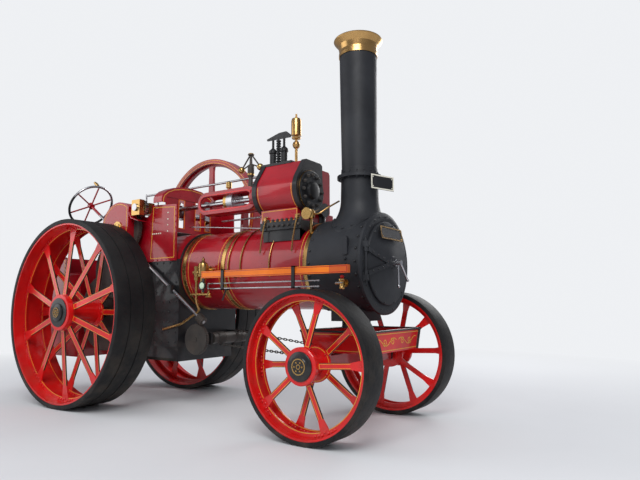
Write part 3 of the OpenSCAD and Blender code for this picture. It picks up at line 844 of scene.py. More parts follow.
# %% cylinder cladding
TOP, SHOULDER = 2428.0, -293.4
BELLY_R = 205.0
belly = np.array([CYL_Y - 15, CRANK_Z + 10])
big = arc(*belly, BELLY_R, 279, 144, 26)


def casing(grow):
    """The cladding's outline in y and z, larger all round by grow."""
    top = TOP + grow
    near = (big - belly) * (1 + grow / BELLY_R) + belly
    return [*near, (SHOULDER - grow * 0.6, top - 14), (SHOULDER + 10, top), (-45, top), (-14, top - 18),
            (-8, 2240), (-8, 1955)]


CLAD_X0, CLAD_X1 = CYL_X0 + 86, CYL_X1 - 50
chest = [plate_x([(-60, 1960), (205, 1960), (225, 1985), (225, 2380), (205, 2408), (-60, 2408)], 2180, 2580),
         plate_x([(215, 2030), (240, 2030), (240, 2365), (215, 2365)], 2210, 2550)]
lower = plate_x([(-345, 1850), (258, 1850), (258, 1965), (-345, 1975)], CYL_X0 + 80, CYL_X1 - 55)
put("cylinder_lagging", [plate_x(casing(0), CLAD_X0, CLAD_X1), *chest, lower], "crimson", "engine",
    ["cylinder_block"])
print("cladding length:", CLAD_X1 - CLAD_X0, "mm")

# %% cylinder castings
SEAT_R = BARREL_R + 1
ends = [plate_x(casing(9), CYL_X0 + 36, CLAD_X0), plate_x(casing(9), CLAD_X1, CYL_X1)]
flange_low = plate_x([(-375, 1775), *arc(0, BOILER_Z, SEAT_R - 8, 130, 50, 14), (262, 1775), (262, 1850),
                      (-375, 1850)], CYL_X0 + 94, CYL_X1 + 4)
web = plate_x([(-352, 1668), *arc(0, BOILER_Z, SEAT_R - 10, 142, 40, 16), (262, 1700), (262, 1780),
               (-352, 1780)], CYL_X0 + 114, CYL_X1 - 20)
cover = [(0, -5), (192, -5), (192, 17), (184, 22), (0, 22)]
cover_boss = [(0, 18), (86, 18), (78, 48), (50, 54), (0, 54)]
gland = [(0, -20), (146, -20), (150, -12), (150, 40), (0, 40)]
round_ends = [on_x(lathe([(r, x0 + x) for r, x in profile], seg), CYL_Y, CRANK_Z)
              for x0, profile, seg in ((CYL_X1, cover, 64), (CYL_X1, cover_boss, 48), (CYL_X0, gland, 48))]
pad = slab((2110, -290, TOP - 4), (2480, -60, 2449))
elbow = [tube([(CYL_X1 - 72, 55, 1830), (CYL_X1 - 72, 55, 1990)], 52, 24),
         on_x(disc(70, CYL_X1 - 60, CYL_X1 - 2, 32), 40, 1990)]
put("cylinder_ends", [*ends, flange_low, web, *round_ends, pad, *elbow], "black")


def round_cylinder(x, r, angles):
    """Points on a circle about the cylinder's axis."""
    return [(x, CYL_Y + r * math.cos(b), CRANK_Z + r * math.sin(b)) for b in angles]


put("cylinder_nuts", [
    many(nut(17, 20), round_cylinder(CYL_X1 + 22, 150, steps(0, 360, 30)), (1, 0, 0)),
    many(nut(16, 26), [(x, -352, 1850) for x in np.arange(2200, 2641, 55)], (0, 0, 1)),
    many(nut(13, 16), [(x, -375, 1812) for x in np.arange(2215, 2641, 60)], (0, -1, 0)),
    many(nut(9, 10), [(2191, y, TOP + 9) for y in (-260, -90)], (0, 0, 1))], "iron")
print("castings and nuts made")

# %% cylinder lines
near = np.array(casing(0)[3:22])
LINE_HALF = 2.5


def line_round(x):
    """A painted line round the cladding at one x: four corners carried along the outline."""
    out = (near - belly) / np.linalg.norm(near - belly, axis=1)[:, None]
    rows = np.stack([np.column_stack([np.full(len(near), x + dx), near + out * lift])
                     for dx, lift in ((-LINE_HALF, -1), (LINE_HALF, -1), (LINE_HALF, 1), (-LINE_HALF, 1))], 1)
    n = len(near)
    i, j = grid(n - 1, 4)
    k = (j + 1) % 4
    return rows.reshape(-1, 3), [np.stack([i * 4 + j, i * 4 + k, (i + 1) * 4 + k, (i + 1) * 4 + j], 1),
                                 np.array([[0, 1, 2, 3]]), np.arange(4)[None] + (n - 1) * 4]


lower_line = [(CLAD_X0 + 12, -345, 1862), (CLAD_X1 - 12, -345, 1862), (CLAD_X1 - 12, -345, 1962),
              (CLAD_X0 + 12, -345, 1962)]
put("cylinder_lines", [line_round(CLAD_X0 + 16), line_round(CLAD_X1 - 16), strip(lower_line, (0, -1, 0), 5)],
    "gold")
put("cylinder_band", on_x(ring(190, 196, CYL_X1 + 5, CYL_X1 + 12, 64), CYL_Y, CRANK_Z), "brass")
print("cylinder lined")

# %% [markdown]
# ## Safety valves, whistle and governor
# Two valves are held down by one beam with a spring, and too high a pressure lifts them. The whistle stands
# beside them on its cock. The governor's balls fly outwards with speed and close the throttle. Their
# bodies are turned pieces, so each is a profile of (radius, height) in one table.

# %% safety valves
SAFETY_Y, PAD = -170.0, 2449.0
VALVE_X, VALVE_R, SPRING_X, TURNS = (2160.0, 2300.0), 34.0, 2230.0, 9
valve = [(0, -3), (VALVE_R + 16, -3), (VALVE_R + 16, 16), (VALVE_R, 18), (VALVE_R, 130), (VALVE_R + 8, 138),
         (VALVE_R + 8, 164), (VALVE_R - 12, 184), (13, 192), (13, 300), (0, 304)]
valves = [upright([(r, PAD + z) for r, z in valve], x, SAFETY_Y) for x in VALVE_X]
coil = [(0, 40), (22, 40), (26, 48), (22, 56), (0, 56)]
coils = [upright([(r, PAD + z + 26 * i) for r, z in coil], SPRING_X, SAFETY_Y, 20) for i in range(TURNS)]
beam = plate_y([(2085, PAD + 280), (2085, PAD + 296), (2240, PAD + 338), (2330, PAD + 340), (2380, PAD + 300),
                (2380, PAD + 274), (2230, PAD + 276)], SAFETY_Y - 9, SAFETY_Y + 9)
stem = rod((SPRING_X, SAFETY_Y, PAD), (SPRING_X, SAFETY_Y, PAD + 290), 10)
put("safety_gear", [*valves, *coils, stem, beam], "black", "engine", ["safety_valves"])
print("turns of the spring:", TURNS)

# %% whistle
WHISTLE_X, WHISTLE_Z = 2450.0, 2440.0
whistle = [(0, 0), (34, 0), (34, 12), (14, 16), (14, 150), (30, 165), (38, 190), (30, 215), (14, 228),
           (14, 246), (42, 250), (46, 262), (18, 268), (18, 280), (50, 282), (50, 430), (43, 452), (20, 464),
           (10, 470), (10, 500), (0, 506)]
put("whistle_bell", upright([(r, WHISTLE_Z + z) for r, z in whistle], WHISTLE_X, SAFETY_Y, 40), "copper",
    "engine", ["whistle"])
print("whistle's top:", WHISTLE_Z + whistle[-1][1])

# %% governor
GOV_X, GOV_Z = 1900.0, CRANK_Z + 118


def governor_part(profile):
    """A turned piece on the governor's spindle, its heights measured from the governor's foot."""
    return upright([(r, GOV_Z + z) for r, z in profile], GOV_X, CYL_Y)


column = governor_part([(0, 0), (44, 0), (44, 10), (26, 22), (22, 110), (34, 130), (34, 236), (16, 250),
                        (13, 335), (30, 342), (34, 352), (0, 352)])
arms = [s for q in (-1, 1)
        for s in (rod((GOV_X + q * 20, CYL_Y, GOV_Z + 335), (GOV_X + q * 120, CYL_Y, GOV_Z + 215), 8),
                  rod((GOV_X + q * 118, CYL_Y, GOV_Z + 205), (GOV_X + q * 22, CYL_Y, GOV_Z + 245), 7))]
put("governor_column", [column, *arms], "iron", "engine", ["governor"])
put("governor_balls", [*pair(lambda q: moved(ball(36, 10, 28), GOV_X + q * 126, CYL_Y, GOV_Z + 205)),
                       governor_part([(0, 350), (24, 350), (28, 362), (0, 372)]),
                       governor_part([(28, 128), (37, 132), (37, 150), (28, 154)])], "brass")
print("cylinder dressed:", len(made), "pieces so far")

# %% [markdown]
# ## Crosshead guide
# The crosshead slides in a round guide that is open at both sides, so that its pin can be oiled. A boolean
# could cut the long opening out of a plate, but it leaves ragged faces. Each cheek is lofted instead
# between its outer outline and the opening's. Both are stadiums: two half circles joined by straight lines.

# %% crosshead guide
GUIDE_X0, GUIDE_X1 = 1236.0, 2062.0


def stadium(x0, x1, half, y):
    """A round-ended outline about the cylinder's axis, in the plane of one y."""
    p = np.vstack([arc(x1 - half, CRANK_Z, half, -90, 90, 12), arc(x0 + half, CRANK_Z, half, 90, 270, 12)])
    return np.column_stack([p[:, 0], np.full(len(p), y), p[:, 1]])


def cheek(y0, y1):
    """A flat side of the guide with its long opening."""
    out, hole = (GUIDE_X0, GUIDE_X1, 118), (1272, 1990, 74)
    return loft(np.array([stadium(*out, y0), stadium(*out, y1), stadium(*hole, y1), stadium(*hole, y0)]))


shells = [plate_x([*arc(CYL_Y, CRANK_Z, 124, q - 50, q + 50, 16),
                   *arc(CYL_Y, CRANK_Z, 101, q + 50, q - 50, 16)], 1300, GUIDE_X1) for q in (90, 270)]
collars = [ring(100, 122, 1985, GUIDE_X1, 64), ring(100, 158, CYL_X0 - 32, CYL_X0 - 10, 64)]
put("guide_body", [cheek(CYL_Y - 98, CYL_Y - 80), cheek(CYL_Y + 80, CYL_Y + 98), *shells,
                   *(on_x(s, CYL_Y, CRANK_Z) for s in collars)], "crimson", "engine", ["trunk_guide"])
put("guide_rim", pair(lambda s: strip(stadium(1262, 2000, 84, CYL_Y + s * 98), (0, s, 0), 9)), "scarlet")
put("guide_nuts", many(nut(13, 18), round_cylinder(CYL_X0 - 34, 142, steps(15, 375, 45)), (-1, 0, 0)), "iron")
print("guide length:", GUIDE_X1 - GUIDE_X0, "mm")

# %% [markdown]
# ## Valve gear
# Two eccentrics on the crankshaft push two rods, and the link between the rods' ends moves the valve's rod.
# An eccentric is a disc whose middle lies off the shaft by its throw, so it is one turned profile, shifted
# by (throw cos a, throw sin a).

# %% valve gear
THROW, LINK_X, VALVE_Y = 25.0, 992.0, 60.0
# columns: the eccentric's right face, the angle of its throw
SHEAVES = ((25, 75), (180, 215))
sheave = [(0, 0), (70, 0), (70, 4), (92, 4), (92, 30), (70, 30), (70, 34), (0, 34)]
gear = []
for k, (y, angle) in enumerate(SHEAVES):
    cx = CRANK_X + THROW * math.cos(math.radians(angle))
    cz = CRANK_Z + THROW * math.sin(math.radians(angle))
    gear += [on_y(lathe([(r, y + d) for r, d in sheave], 48), cx, cz),
             rod((cx + 60, y + 17, cz), (LINK_X, VALVE_Y - 20 + 40 * k, CRANK_Z + 80 - 160 * k), 12)]
gear += [slab((LINK_X - 14, 28, CRANK_Z - 110), (LINK_X + 14, 92, CRANK_Z + 110)),
         rod((LINK_X, VALVE_Y, CRANK_Z), (CYL_X0 + 110, VALVE_Y, CRANK_Z), 13),
         rod((1300, VALVE_Y - 60, 1990), (CYL_X0 + 110, VALVE_Y - 60, 1990), 10),
         rod((1150, -330, 1905), (2230, -368, 1800), 6)]
put("valve_rods", gear, "steel")
bracket = plate_x([(VALVE_Y - 50, 1846), (VALVE_Y + 50, 1840), (VALVE_Y + 36, CRANK_Z - 34),
                   (VALVE_Y + 30, CRANK_Z + 30), (VALVE_Y - 30, CRANK_Z + 30), (VALVE_Y - 36, CRANK_Z - 34)],
                  1560, 1600)
put("valve_rod_bracket", [bracket, slab((1530, -10, 1835), (1630, 130, 1856))], "crimson")
print("eccentrics:", len(SHEAVES))

# %% [markdown]
# ## Motion cover
# An arched sheet keeps rain and cinders off the crank. Its outline is drawn once, in y and z. A
# smaller copy of the same outline gives the sheet its thickness, and another one places the gold line. The
# three slots below it, where the rods pass, have painted rims.

# %% motion cover
COVER_X = 876.0
arch = [(-498, 2186), (-498, 2236), (-478, 2278), (-430, 2321), (-340, 2364), (-220, 2390), (-80, 2400),
        (80, 2386), (220, 2336), (330, 2246)]
crown = plate_x([*arch, (-431, 2254), (-431, 2186)], COVER_X, COVER_X + 6)
inner_arch = [(y * 0.975, 2186 + (z - 2186) * 0.965) for y, z in arch]
hood = plate_x([*arch, *inner_arch[::-1]], COVER_X - 130, COVER_X + 1)
put("motion_hood", [crown, hood], "crimson")
line_arch = [(COVER_X + 6, y * 0.95, 2170 + (z - 2170) * 0.90) for y, z in arch]
put("motion_hood_lines", strip(line_arch, (1, 0, 0), 6, loop=False), "gold")
slot = [(-42, 1926), (42, 1926), (42, 2248), (-42, 2248)]
put("slot_rims", [strip([(COVER_X, y + dy, z) for dy, z in slot], (1, 0, 0), 9, 2)
                  for y in (CYL_Y, 35, 190)], "orange")
print("motion covered")

# %% [markdown]
# ## Gears and their case
# Gears carry the crankshaft's turning down to the rear axle. The frame has them as plain discs, and their
# teeth are added here as small wedges. A tooth's point (u, v), v outwards, goes to x = u cos b + v sin b
# and z = v cos b - u sin b about its shaft. A curved case guards the upper gears.

# %% gear case
CASE = (290.0, 1930.0, 292.0)
CASE_Y = -612.0
case_arc = arc(*CASE, 52, 207, 24)
case_in = arc(CASE[0], CASE[1], CASE[2] - 8, 52, 207, 24)
case = [plate_y([*case_arc, (case_arc[0][0], case_arc[-1][1])], CASE_Y, CASE_Y + 8),
        plate_y([*case_arc, *case_in[::-1]], -606, -488), slab((462, -606, 1800), (470, -488, 2160)),
        plate_y([(462, 2100), (470, 2100), (520, 2030), (640, 1990), (640, 1984), (512, 2022)], CASE_Y, -500)]
put("gear_case", case, "crimson", "engine", ["gear_guards"])
inset = [*arc(CASE[0], CASE[1], 268, 56, 200, 20), (446, 1822)]
put("gear_case_lines", strip([(x, CASE_Y, z) for x, z in inset], (0, -1, 0), 6), "gold")
boss = join([ring(48, 74, 604, 622), lathe([(0, 606), (50, 606), (50, 628), (38, 634), (0, 636)], 32)])
put("gear_case_boss", on_right(boss, CASE[0], CASE[1]), "brass")
print("gear case radius:", CASE[2])

# %% gear teeth
# columns: x, z, radius, right face, left face
GEARS = ((290, 1930, 268, -530, -490), (290, 1930, 132, -585, -545), (200, 1480, 325, -585, -545),
         (200, 1480, 85, -540, -490), (0, 1000, 430, -540, -490), (CRANK_X, CRANK_Z, 85, -530, -490))
TOOTH_PITCH = 26.0


def teeth_round(outline, y0, y1, count, x, z):
    """Copies of one tooth's outline at even angles b round a shaft along y."""
    tooth = prism(outline, y0, y1)
    turns = [(math.cos(b), math.sin(b)) for b in np.linspace(0, 2 * np.pi, count, endpoint=False)]
    return [turned(tooth, [(c, s, 0), (0, 0, 1), (-s, c, 0)], (x, 0, z)) for c, s in turns]


teeth = [tooth for x, z, r, y0, y1 in GEARS
         for tooth in teeth_round([(-6.5, r - 2), (6.5, r - 2), (3.5, r + 6), (-3.5, r + 6)], y0, y1,
                                  int(2 * np.pi * r / TOOTH_PITCH), x, z)]
put("gear_teeth", teeth, "iron")
print("gear teeth:", len(teeth))

# %% [markdown]
# ## Flywheel
# The heavy rim evens out the strokes. A flywheel is cast in one piece: rim, inner rib, hub and six arms
# that taper outwards. Rings turned about the shaft and one arm's outline, turned six times by 60 degrees,
# make it.

# %% flywheel
FLY_R, FLY_Y0, FLY_Y1 = 770.0, 475.0, 610.0
fly_lines = [ring(r, r + 5, y, y + 1.6, 128) for y in (FLY_Y0 - 1.2, FLY_Y1 - 0.4) for r in (716, 748)]
put("flywheel_lines", [on_y(s, CRANK_X, CRANK_Z) for s in fly_lines], "gold", "flywheel")
arm = plate_y([(-46, 90), (46, 90), (32, FLY_R - 150), (44, FLY_R - 66), (-44, FLY_R - 66),
               (-32, FLY_R - 150)], 524, 562)
fly_rings = [ring(FLY_R - 60, FLY_R, FLY_Y0, FLY_Y1, 128), ring(FLY_R - 84, FLY_R - 58, 528, 558, 128),
             ring(40.1, 108, FLY_Y0, FLY_Y1, 64)]
arm_turns = [np.array(Matrix.Rotation(math.radians(60 * k), 3, "Y")) for k in range(6)]
put("flywheel_casting", [*(on_y(s, CRANK_X, CRANK_Z) for s in fly_rings),
                         *(turned(arm, turn, (CRANK_X, 0, CRANK_Z)) for turn in arm_turns)],
    "crimson", "flywheel", ["flywheel"])
print("flywheel radius:", FLY_R)

# %% [markdown]
# ## Hornplates, firebox and tender
# The two hornplates grow out of the firebox's sides and carry the shafts. Flat boiler plate bulges under
# pressure, so a grid of screwed stays ties the firebox's two skins together, and their heads show. Heads
# and lines lie on both sides, so each is written once as a function of the side.

# %% hornplates and firebox
panel = [(665, 1580), (1040, 1580), (1032, 2122), (690, 2146)]
put("hornplate_lines", pair(lambda s: strip([(x, s * PLATE_Y, z) for x, z in panel], (0, s, 0), 7)), "gold")


def side_heads(head, y, places):
    """Heads at the same places, x and z, on both sides, facing away from the middle."""
    return pair(lambda s: many(head, [(x, s * y, z) for x, z in places], (0, s, 0)))


edge_heads = [(1052, z) for z in range(1590, 2140, 62)] + [(x, 1560) for x in range(360, 1060, 70)]
put("hornplate_rivets", side_heads(dome(9, 7), PLATE_Y, edge_heads), "crimson")
bolts = ([(930, -PLATE_Y, z) for z in (1866, 1936, 1998, 2068)]
         + [(x, -PLATE_Y, 1850) for x in range(690, 830, 32)])
put("hornplate_bolts", many(dome(9, 6), bolts, (0, -1, 0)), "cream")
stays = [(x, z) for x in range(345, 1100, 104) for z in range(690, 1540, 104)]
put("firebox_stays", side_heads(dome(12, 7), 430, stays), "black")
print("stays on each side:", len(stays))

# %% tender
TENDER_Y, TENDER_X = 548.0, -1250.0
bunker = [(-1222, 820), (-830, 820), (-830, 1622), (-1222, 1622)]
rear_panel = [(-515, 810), (515, 810), (515, 1620), (-515, 1620)]
put("tender_lines", [*pair(lambda s: strip([(x, s * TENDER_Y, z) for x, z in bunker], (0, s, 0), 7)),
                     strip([(TENDER_X, y, z) for y, z in rear_panel], (-1, 0, 0), 7)], "gold")
side_rows = ([(x, z) for x in range(-1235, -470, 51) for z in (486, 764)]
             + [(x, z) for x in (-1235, -815) for z in range(830, 1640, 54)])
rear_rows = [(TENDER_X, y, z) for y in range(-530, 531, 53) for z in (486, 764, 1636)]
put("tender_rivets", [*side_heads(dome(8, 6), TENDER_Y, side_rows), many(dome(8, 6), rear_rows, (-1, 0, 0))],
    "crimson")
put("bunker_beading", [
    *pair(lambda s: tube([(TENDER_X, s * TENDER_Y, 1650), (-800, s * TENDER_Y, 1650)], 11)),
    tube([(TENDER_X, -TENDER_Y, 1650), (TENDER_X, TENDER_Y, 1650)], 11),
    *pair(lambda s: tube([(-800, s * TENDER_Y, 1450), (-470, s * TENDER_Y, 1450)], 11))], "crimson")
print("tender dressed")

# %% [markdown]
# ## Controls
# The controls are all within reach of the footplate: the regulator's long rod, two gauges and the
# handwheel. The handwheel's shaft slopes forwards to a worm, which turns the toothed wheel on the chain
# barrel. The worm is a stack of turned ridges: at this size they read the same as a true helix.

# %% controls
REG_Z, REG_Y = 2396.0, -100.0
put("regulator_rod", [rod((110, REG_Y, REG_Z), (CYL_X0 + 90, REG_Y, REG_Z), 12),
                      rod((335, REG_Y, 1850), (335, REG_Y, REG_Z + 8), 11),
                      rod((120, REG_Y, REG_Z - 120), (120, REG_Y, REG_Z + 20), 11)], "steel")
gauge = lathe([(0, 245), (72, 245), (76, 252), (76, 270), (0, 270)], 40)
put("pressure_gauge", [on_x(gauge, 90, 1745), rod((250, 90, 1745), (305, 90, 1745), 10)], "brass")
put("water_gauge", [*(rod((262, -110, z), (305, -110, z), 14) for z in (1500, 1700)),
                    rod((270, -110, 1480), (270, -110, 1720), 9)], "brass")
print("gauges and regulator made")

# %% steering shaft and barrel
SLOPE = math.radians(34.6)
SHAFT = facing((math.cos(SLOPE), 0, -math.sin(SLOPE)))
HAND = np.array([-460.0, -466.0, 2280.0])
HANDWHEEL_R, BARREL_X, BARREL_Z = 265.0, 1420.0, 734.0
WORM_AT = 2330.0
ridge = ((28, 0), (46, 3), (46, 9), (28, 12))
worm = [(0, WORM_AT), *((r, WORM_AT + z + 14 * i) for i in range(6) for r, z in ridge), (0, WORM_AT + 82)]
put("steering_worm", turned(lathe(worm, 32), SHAFT, HAND), "iron", "steering_wheel")
grip = lathe([(0, -30), (16, -30), (20, -80), (14, -118), (0, -122)], 20)
put("handwheel_grip", turned(grip, SHAFT, HAND + SHAFT @ (0, HANDWHEEL_R, 0)), "brass", "steering_wheel")
put("steering_worm_teeth", teeth_round([(-7, 147), (7, 147), (4, 154), (-4, 154)], -468, -432, 40, BARREL_X,
                                       BARREL_Z), "iron", "steering_barrel")
wound = [(54, -6), (63, -6), (63, 6), (54, 6)]
put("chain_coils", [on_y(lathe([(r, s * (120 + 18 * i) + d) for r, d in wound], 40), BARREL_X, BARREL_Z)
                    for s in (-1, 1) for i in range(-2, 4)], "iron", "steering_barrel")
print("steering shaft slopes by", round(math.degrees(SLOPE), 1), "degrees")

# %% [markdown]
# ## Steering chains
# A chain's links stand by turns flat and on edge. Each is a wire ring swept round a stadium, lofted from
# round sections, and the next one is the same shape with two of its axes swapped.

# %% steering chains
def link(half, round_r, wire):
    """One chain link: a wire ring round a stadium, flat in x and y, its length along x."""
    seg, bends = 8, 6
    b = np.radians(np.concatenate([np.linspace(-90, 90, bends), np.linspace(90, 270, bends)]))
    shift = np.repeat([half, -half], bends)
    path = np.stack([shift + round_r * np.cos(b), round_r * np.sin(b), 0 * b], 1)
    out = np.stack([np.cos(b), np.sin(b), 0 * b], 1)
    q = np.linspace(0, 2 * np.pi, seg, endpoint=False)
    return loft(path[:, None] + wire * (np.cos(q)[None, :, None] * out[:, None]
                                        + np.sin(q)[None, :, None] * (0, 0, 1)))


LINK_STEP = 34.0
for side, hand in SIDES:
    start, stop = np.array([BARREL_X, side * 120, BARREL_Z + side * 68]), np.array([2860, side * 295.4, 607])
    run = stop - start
    count = int(np.linalg.norm(run) / LINK_STEP)
    along = run / np.linalg.norm(run)
    across = np.cross((0, 0, 1), along)
    flat = np.column_stack([along, across, np.cross(along, across)])
    links = [turned(link(12, 9, 4.6), flat if k % 2 else flat[:, [0, 2, 1]], start + run * (k + 0.5) / count)
             for k in range(count)]
    put(f"chain_links_{hand}", links, "iron", f"steering_chain_{hand}", [f"steering_chain_{hand}"])
print("links in a chain:", count)

# %% [markdown]
# ## Feed valve and its pipe
# The pump pushes water into the boiler through a one-way valve on the boiler's side. The real one is a
# brass casting with pipes screwed into it: a turned chamber and straight rods give the same outline.

# %% feed valve
FEED_X, FEED_Y = 1563.0, -520.0


def feed_at(dx, dz, y=FEED_Y):
    """A point measured from the valve's place, at the height of the boiler's axis."""
    return (FEED_X + dx, y, BOILER_Z + dz)


def feed_turned(profile, dx=0.0):
    """A turned piece of the valve, its heights measured from the boiler's axis."""
    return upright([(r, BOILER_Z + z) for r, z in profile], FEED_X + dx, FEED_Y)


chamber = [(0, -150), (30, -150), (30, -90), (56, -84), (56, -66), (50, -60), (54, 10), (44, 46), (18, 64),
           (12, 76), (16, 84), (9, 98), (0, 112)]
# columns: start x and z, end x and z, radius, all measured by feed_at
feed_rods = ((-130, -44, 0, -44, 20), (-90, -120, -90, 20, 28), (-90, -235, -90, -120, 15),
             (0, -262, 0, -140, 14), (-175, -262, 110, -262, 12))
put("feed_valve", [feed_turned(chamber), rod(feed_at(0, -20), feed_at(0, -20, -395), 26),
                   rod(feed_at(0, -20, -440), feed_at(0, -20, -395), 44, 24),
                   *(rod(feed_at(x0, z0), feed_at(x1, z1), r) for x0, z0, x1, z1, r in feed_rods),
                   feed_turned([(0, -290), (34, -290), (14, -262), (14, -225), (0, -225)], 82)],
    "brass", "engine", ["feed_pump"])
put("feed_pipe", tube([feed_at(-90, -230), feed_at(-90, -330), feed_at(-90, -420, -470),
                       (1180, -446, BOILER_Z - 560), (900, -440, BOILER_Z - 620)], 13, 14, 40), "copper")
GLASS_X, GLASS_Z = 1612.0, 1263.0
drip_glass = lathe([(0, 566), (36, 566), (36, 578), (28, 586), (0, 588)], 32)
put("drip_glass", on_right(drip_glass, GLASS_X, GLASS_Z), "glass")
put("drip_strap", [slab((1598, -566, 1200), (1626, -558, 1345)), slab((1598, -566, 1336), (1626, -530, 1345)),
                   on_right(ring(34, 42, 564, 584), GLASS_X, GLASS_Z)], "black")
print("feed valve at", FEED_X)

# %% [markdown]
# ## Side rail
# A long bar beside the boiler carries the fire irons on two hooks. It is painted orange, and its front end
# is a darker, redder orange: one surface with a mask of x says so without a second object.

# %% side rail
RAIL_X0, RAIL_X1, RAIL_Z0, RAIL_Z1 = 1595.0, 3270.0, 1336.0, 1402.0
# from this x, in metres from the rear axle, to its front end the bar is a darker, redder orange
DEEP_FROM = 3.09
put("rail_bar", slab((RAIL_X0, -575, RAIL_Z0), (RAIL_X1, -535, RAIL_Z1)),
    surface("rail_finish", "orange", (lambda p: p.x > DEEP_FROM, "rust")), "engine", ["side_rail"])
rail_line = [(RAIL_X0 + 8, -575, RAIL_Z0 + 9), (RAIL_X1 - 8, -575, RAIL_Z0 + 9),
             (RAIL_X1 - 8, -575, RAIL_Z1 - 9), (RAIL_X0 + 8, -575, RAIL_Z1 - 9)]
put("rail_lines", strip(rail_line, (0, -1, 0), 4.5), "crimson")
# columns: x, y of the foot on the boiler or the smokebox
RAIL_FEET = ((1720, -398), (2000, -398), (2580, -398), (3120, -408))
put("rail_brackets", [s for x, y in RAIL_FEET
                      for s in (slab((x, -537, 1352), (x + 24, y, 1378)),
                                slab((x - 3, -540, 1345), (x + 27, -533, 1392)))], "black")
print("rail length:", RAIL_X1 - RAIL_X0, "mm")

# %% [markdown]
# ## Pipes, fire irons and cocks
# Thin copper pipes follow the boiler's curve or drop from the cylinder's drain cocks. One that drops is a
# tube along a few points whose corners are cut by arcs, which is how a pipe is bent on a former; one that
# wraps the boiler follows the points of a circle. A curve object with a bevel would do as well, but `tube`
# gives a plain mesh at once.

# %% pipes and fire irons
COCK_X = (2236, 2610)
drains = [tube([(x, -335, 1880), (x, -366, 1880), (x, -392, 1820), (x - 22, -402, 1690),
                (x - 26, -420, 1560)], 7, 10, 12) for x in COCK_X]
# columns: x, first and last angle round the boiler from the top, in degrees
WRAPS = ((1800, 20, 112), (1960, 12, 104), (2320, 38, 104))
wraps = [tube(shell_points(x, BARREL_R + 9, -np.radians(np.linspace(first, last, 40))), 7, 10)
         for x, first, last in WRAPS]
put("drain_pipes", drains + wraps, "copper", "engine", ["boiler_pipes"])
hooks = [s for x in (1872, 2710)
         for s in (slab((x, -590, 1216), (x + 30, -575, 1412)), slab((x, -590, 1402), (x + 30, -530, 1412)),
                   slab((x, -590, 1216), (x + 30, -490, 1226)), slab((x, -535, 1340), (x + 30, -395, 1352)))]
put("iron_rack", [*hooks, rod((1880, -520, 1226), (1812, -500, 1120), 8)], "black")
put("fire_irons", [*(rod((1620, -505, z), (2950, -505, z), 7) for z in (1234, 1284)),
                   rod((1620, -505, 1234), (1620, -505, 1284), 7)], "steel")
print("pipes:", len(drains) + len(wraps))

# %% cocks and lubricator
cocks = [s for x in COCK_X
         for s in (rod((x, -340, 1880), (x, -384, 1880), 14, 20), rod((x, -364, 1858), (x, -364, 1905), 10),
                   rod((x - 26, -364, 1903), (x + 26, -364, 1903), 5))]
OILER_X, OILER_Y = 2707.0, -285.0
lubricator = [upright([(0, 1850), (16, 1850), (16, 1860), (30, 1868), (36, 1885), (36, 1930), (20, 1948),
                       (0, 1952)], OILER_X, OILER_Y),
              rod((OILER_X, OILER_Y, 1730), (OILER_X, OILER_Y, 1870), 14),
              on_right(disc(54, 352, 364, 36), OILER_X, 1902),
              rod((OILER_X, -360, 1902), (OILER_X, OILER_Y, 1902), 12)]
cup = [(0, 118), (16, 118), (16, 150), (30, 158), (30, 215), (12, 228), (0, 232)]
oil_cup = upright([(r, CRANK_Z + z) for r, z in cup], 1596, CYL_Y, 24)
put("brass_cocks", [*cocks, *lubricator, oil_cup], "brass")
put("oil_pipe", tube([(2740, OILER_Y, 1902), (2800, OILER_Y, 1902), (2860, -220, 1965),
                      (CHIMNEY_X - 150, -120, 2030)], 8, 10, 30), "copper")
print("cocks:", len(COCK_X))

# %% blower valve
BLOW_X, BLOW_Y, BLOW_Z = 3165.0, -492.0, 1257.0
body_profile = [(0, 1206), (20, 1206), (26, 1216), (20, 1226), (20, 1270), (28, 1278), (28, 1290), (12, 1300),
                (0, 1306)]
put("blower_valve", [rod((BLOW_X, -405, BLOW_Z), (BLOW_X, -505, BLOW_Z), 18, 20),
                     rod((BLOW_X, -440, BLOW_Z), (BLOW_X, -452, BLOW_Z), 34, 24),
                     upright(body_profile, BLOW_X, BLOW_Y, 24),
                     rod((BLOW_X - 62, BLOW_Y, BLOW_Z), (BLOW_X, BLOW_Y, BLOW_Z), 12)], "brass")
put("blower_handle", [rod((BLOW_X, -500, BLOW_Z), (BLOW_X, -545, BLOW_Z), 6),
                      rod((BLOW_X - 34, -542, BLOW_Z), (BLOW_X + 34, -542, BLOW_Z), 5)], "steel")
knob = [(0, 1300), (16, 1302), (18, 1312), (10, 1322), (0, 1324)]
put("blower_knob", upright(knob, BLOW_X, BLOW_Y, 20), "scarlet")
print("side fittings done:", len(made), "pieces so far")

# %% [markdown]
# ## Front tray
# The open tray over the front axle holds the strakes that bolt onto the wheels for soft ground. It is
# folded from sheet and flares upwards, so a loft between four oblongs makes it: foot and top of the
# outside, then top and floor of the inside.

# %% tray
DEPTH = 180.0
TOP_Z, FOOT_W, TOP_W, SHEET = TRAY_Z + DEPTH, 420.0, 485.0, 8.0


def oblong(inset, half, z):
    """The tray's four corners at one height, this much inside its ends and this wide to each side."""
    x0, x1 = TRAY_X0 + inset, TRAY_X1 - inset
    return [(x0, -half, z), (x1, -half, z), (x1, half, z), (x0, half, z)]


points, quads = loft(np.array([oblong(0, FOOT_W, TRAY_Z), oblong(0, TOP_W, TOP_Z),
                               oblong(SHEET, TOP_W - SHEET, TOP_Z),
                               oblong(SHEET, FOOT_W - SHEET, TRAY_Z + SHEET)]))
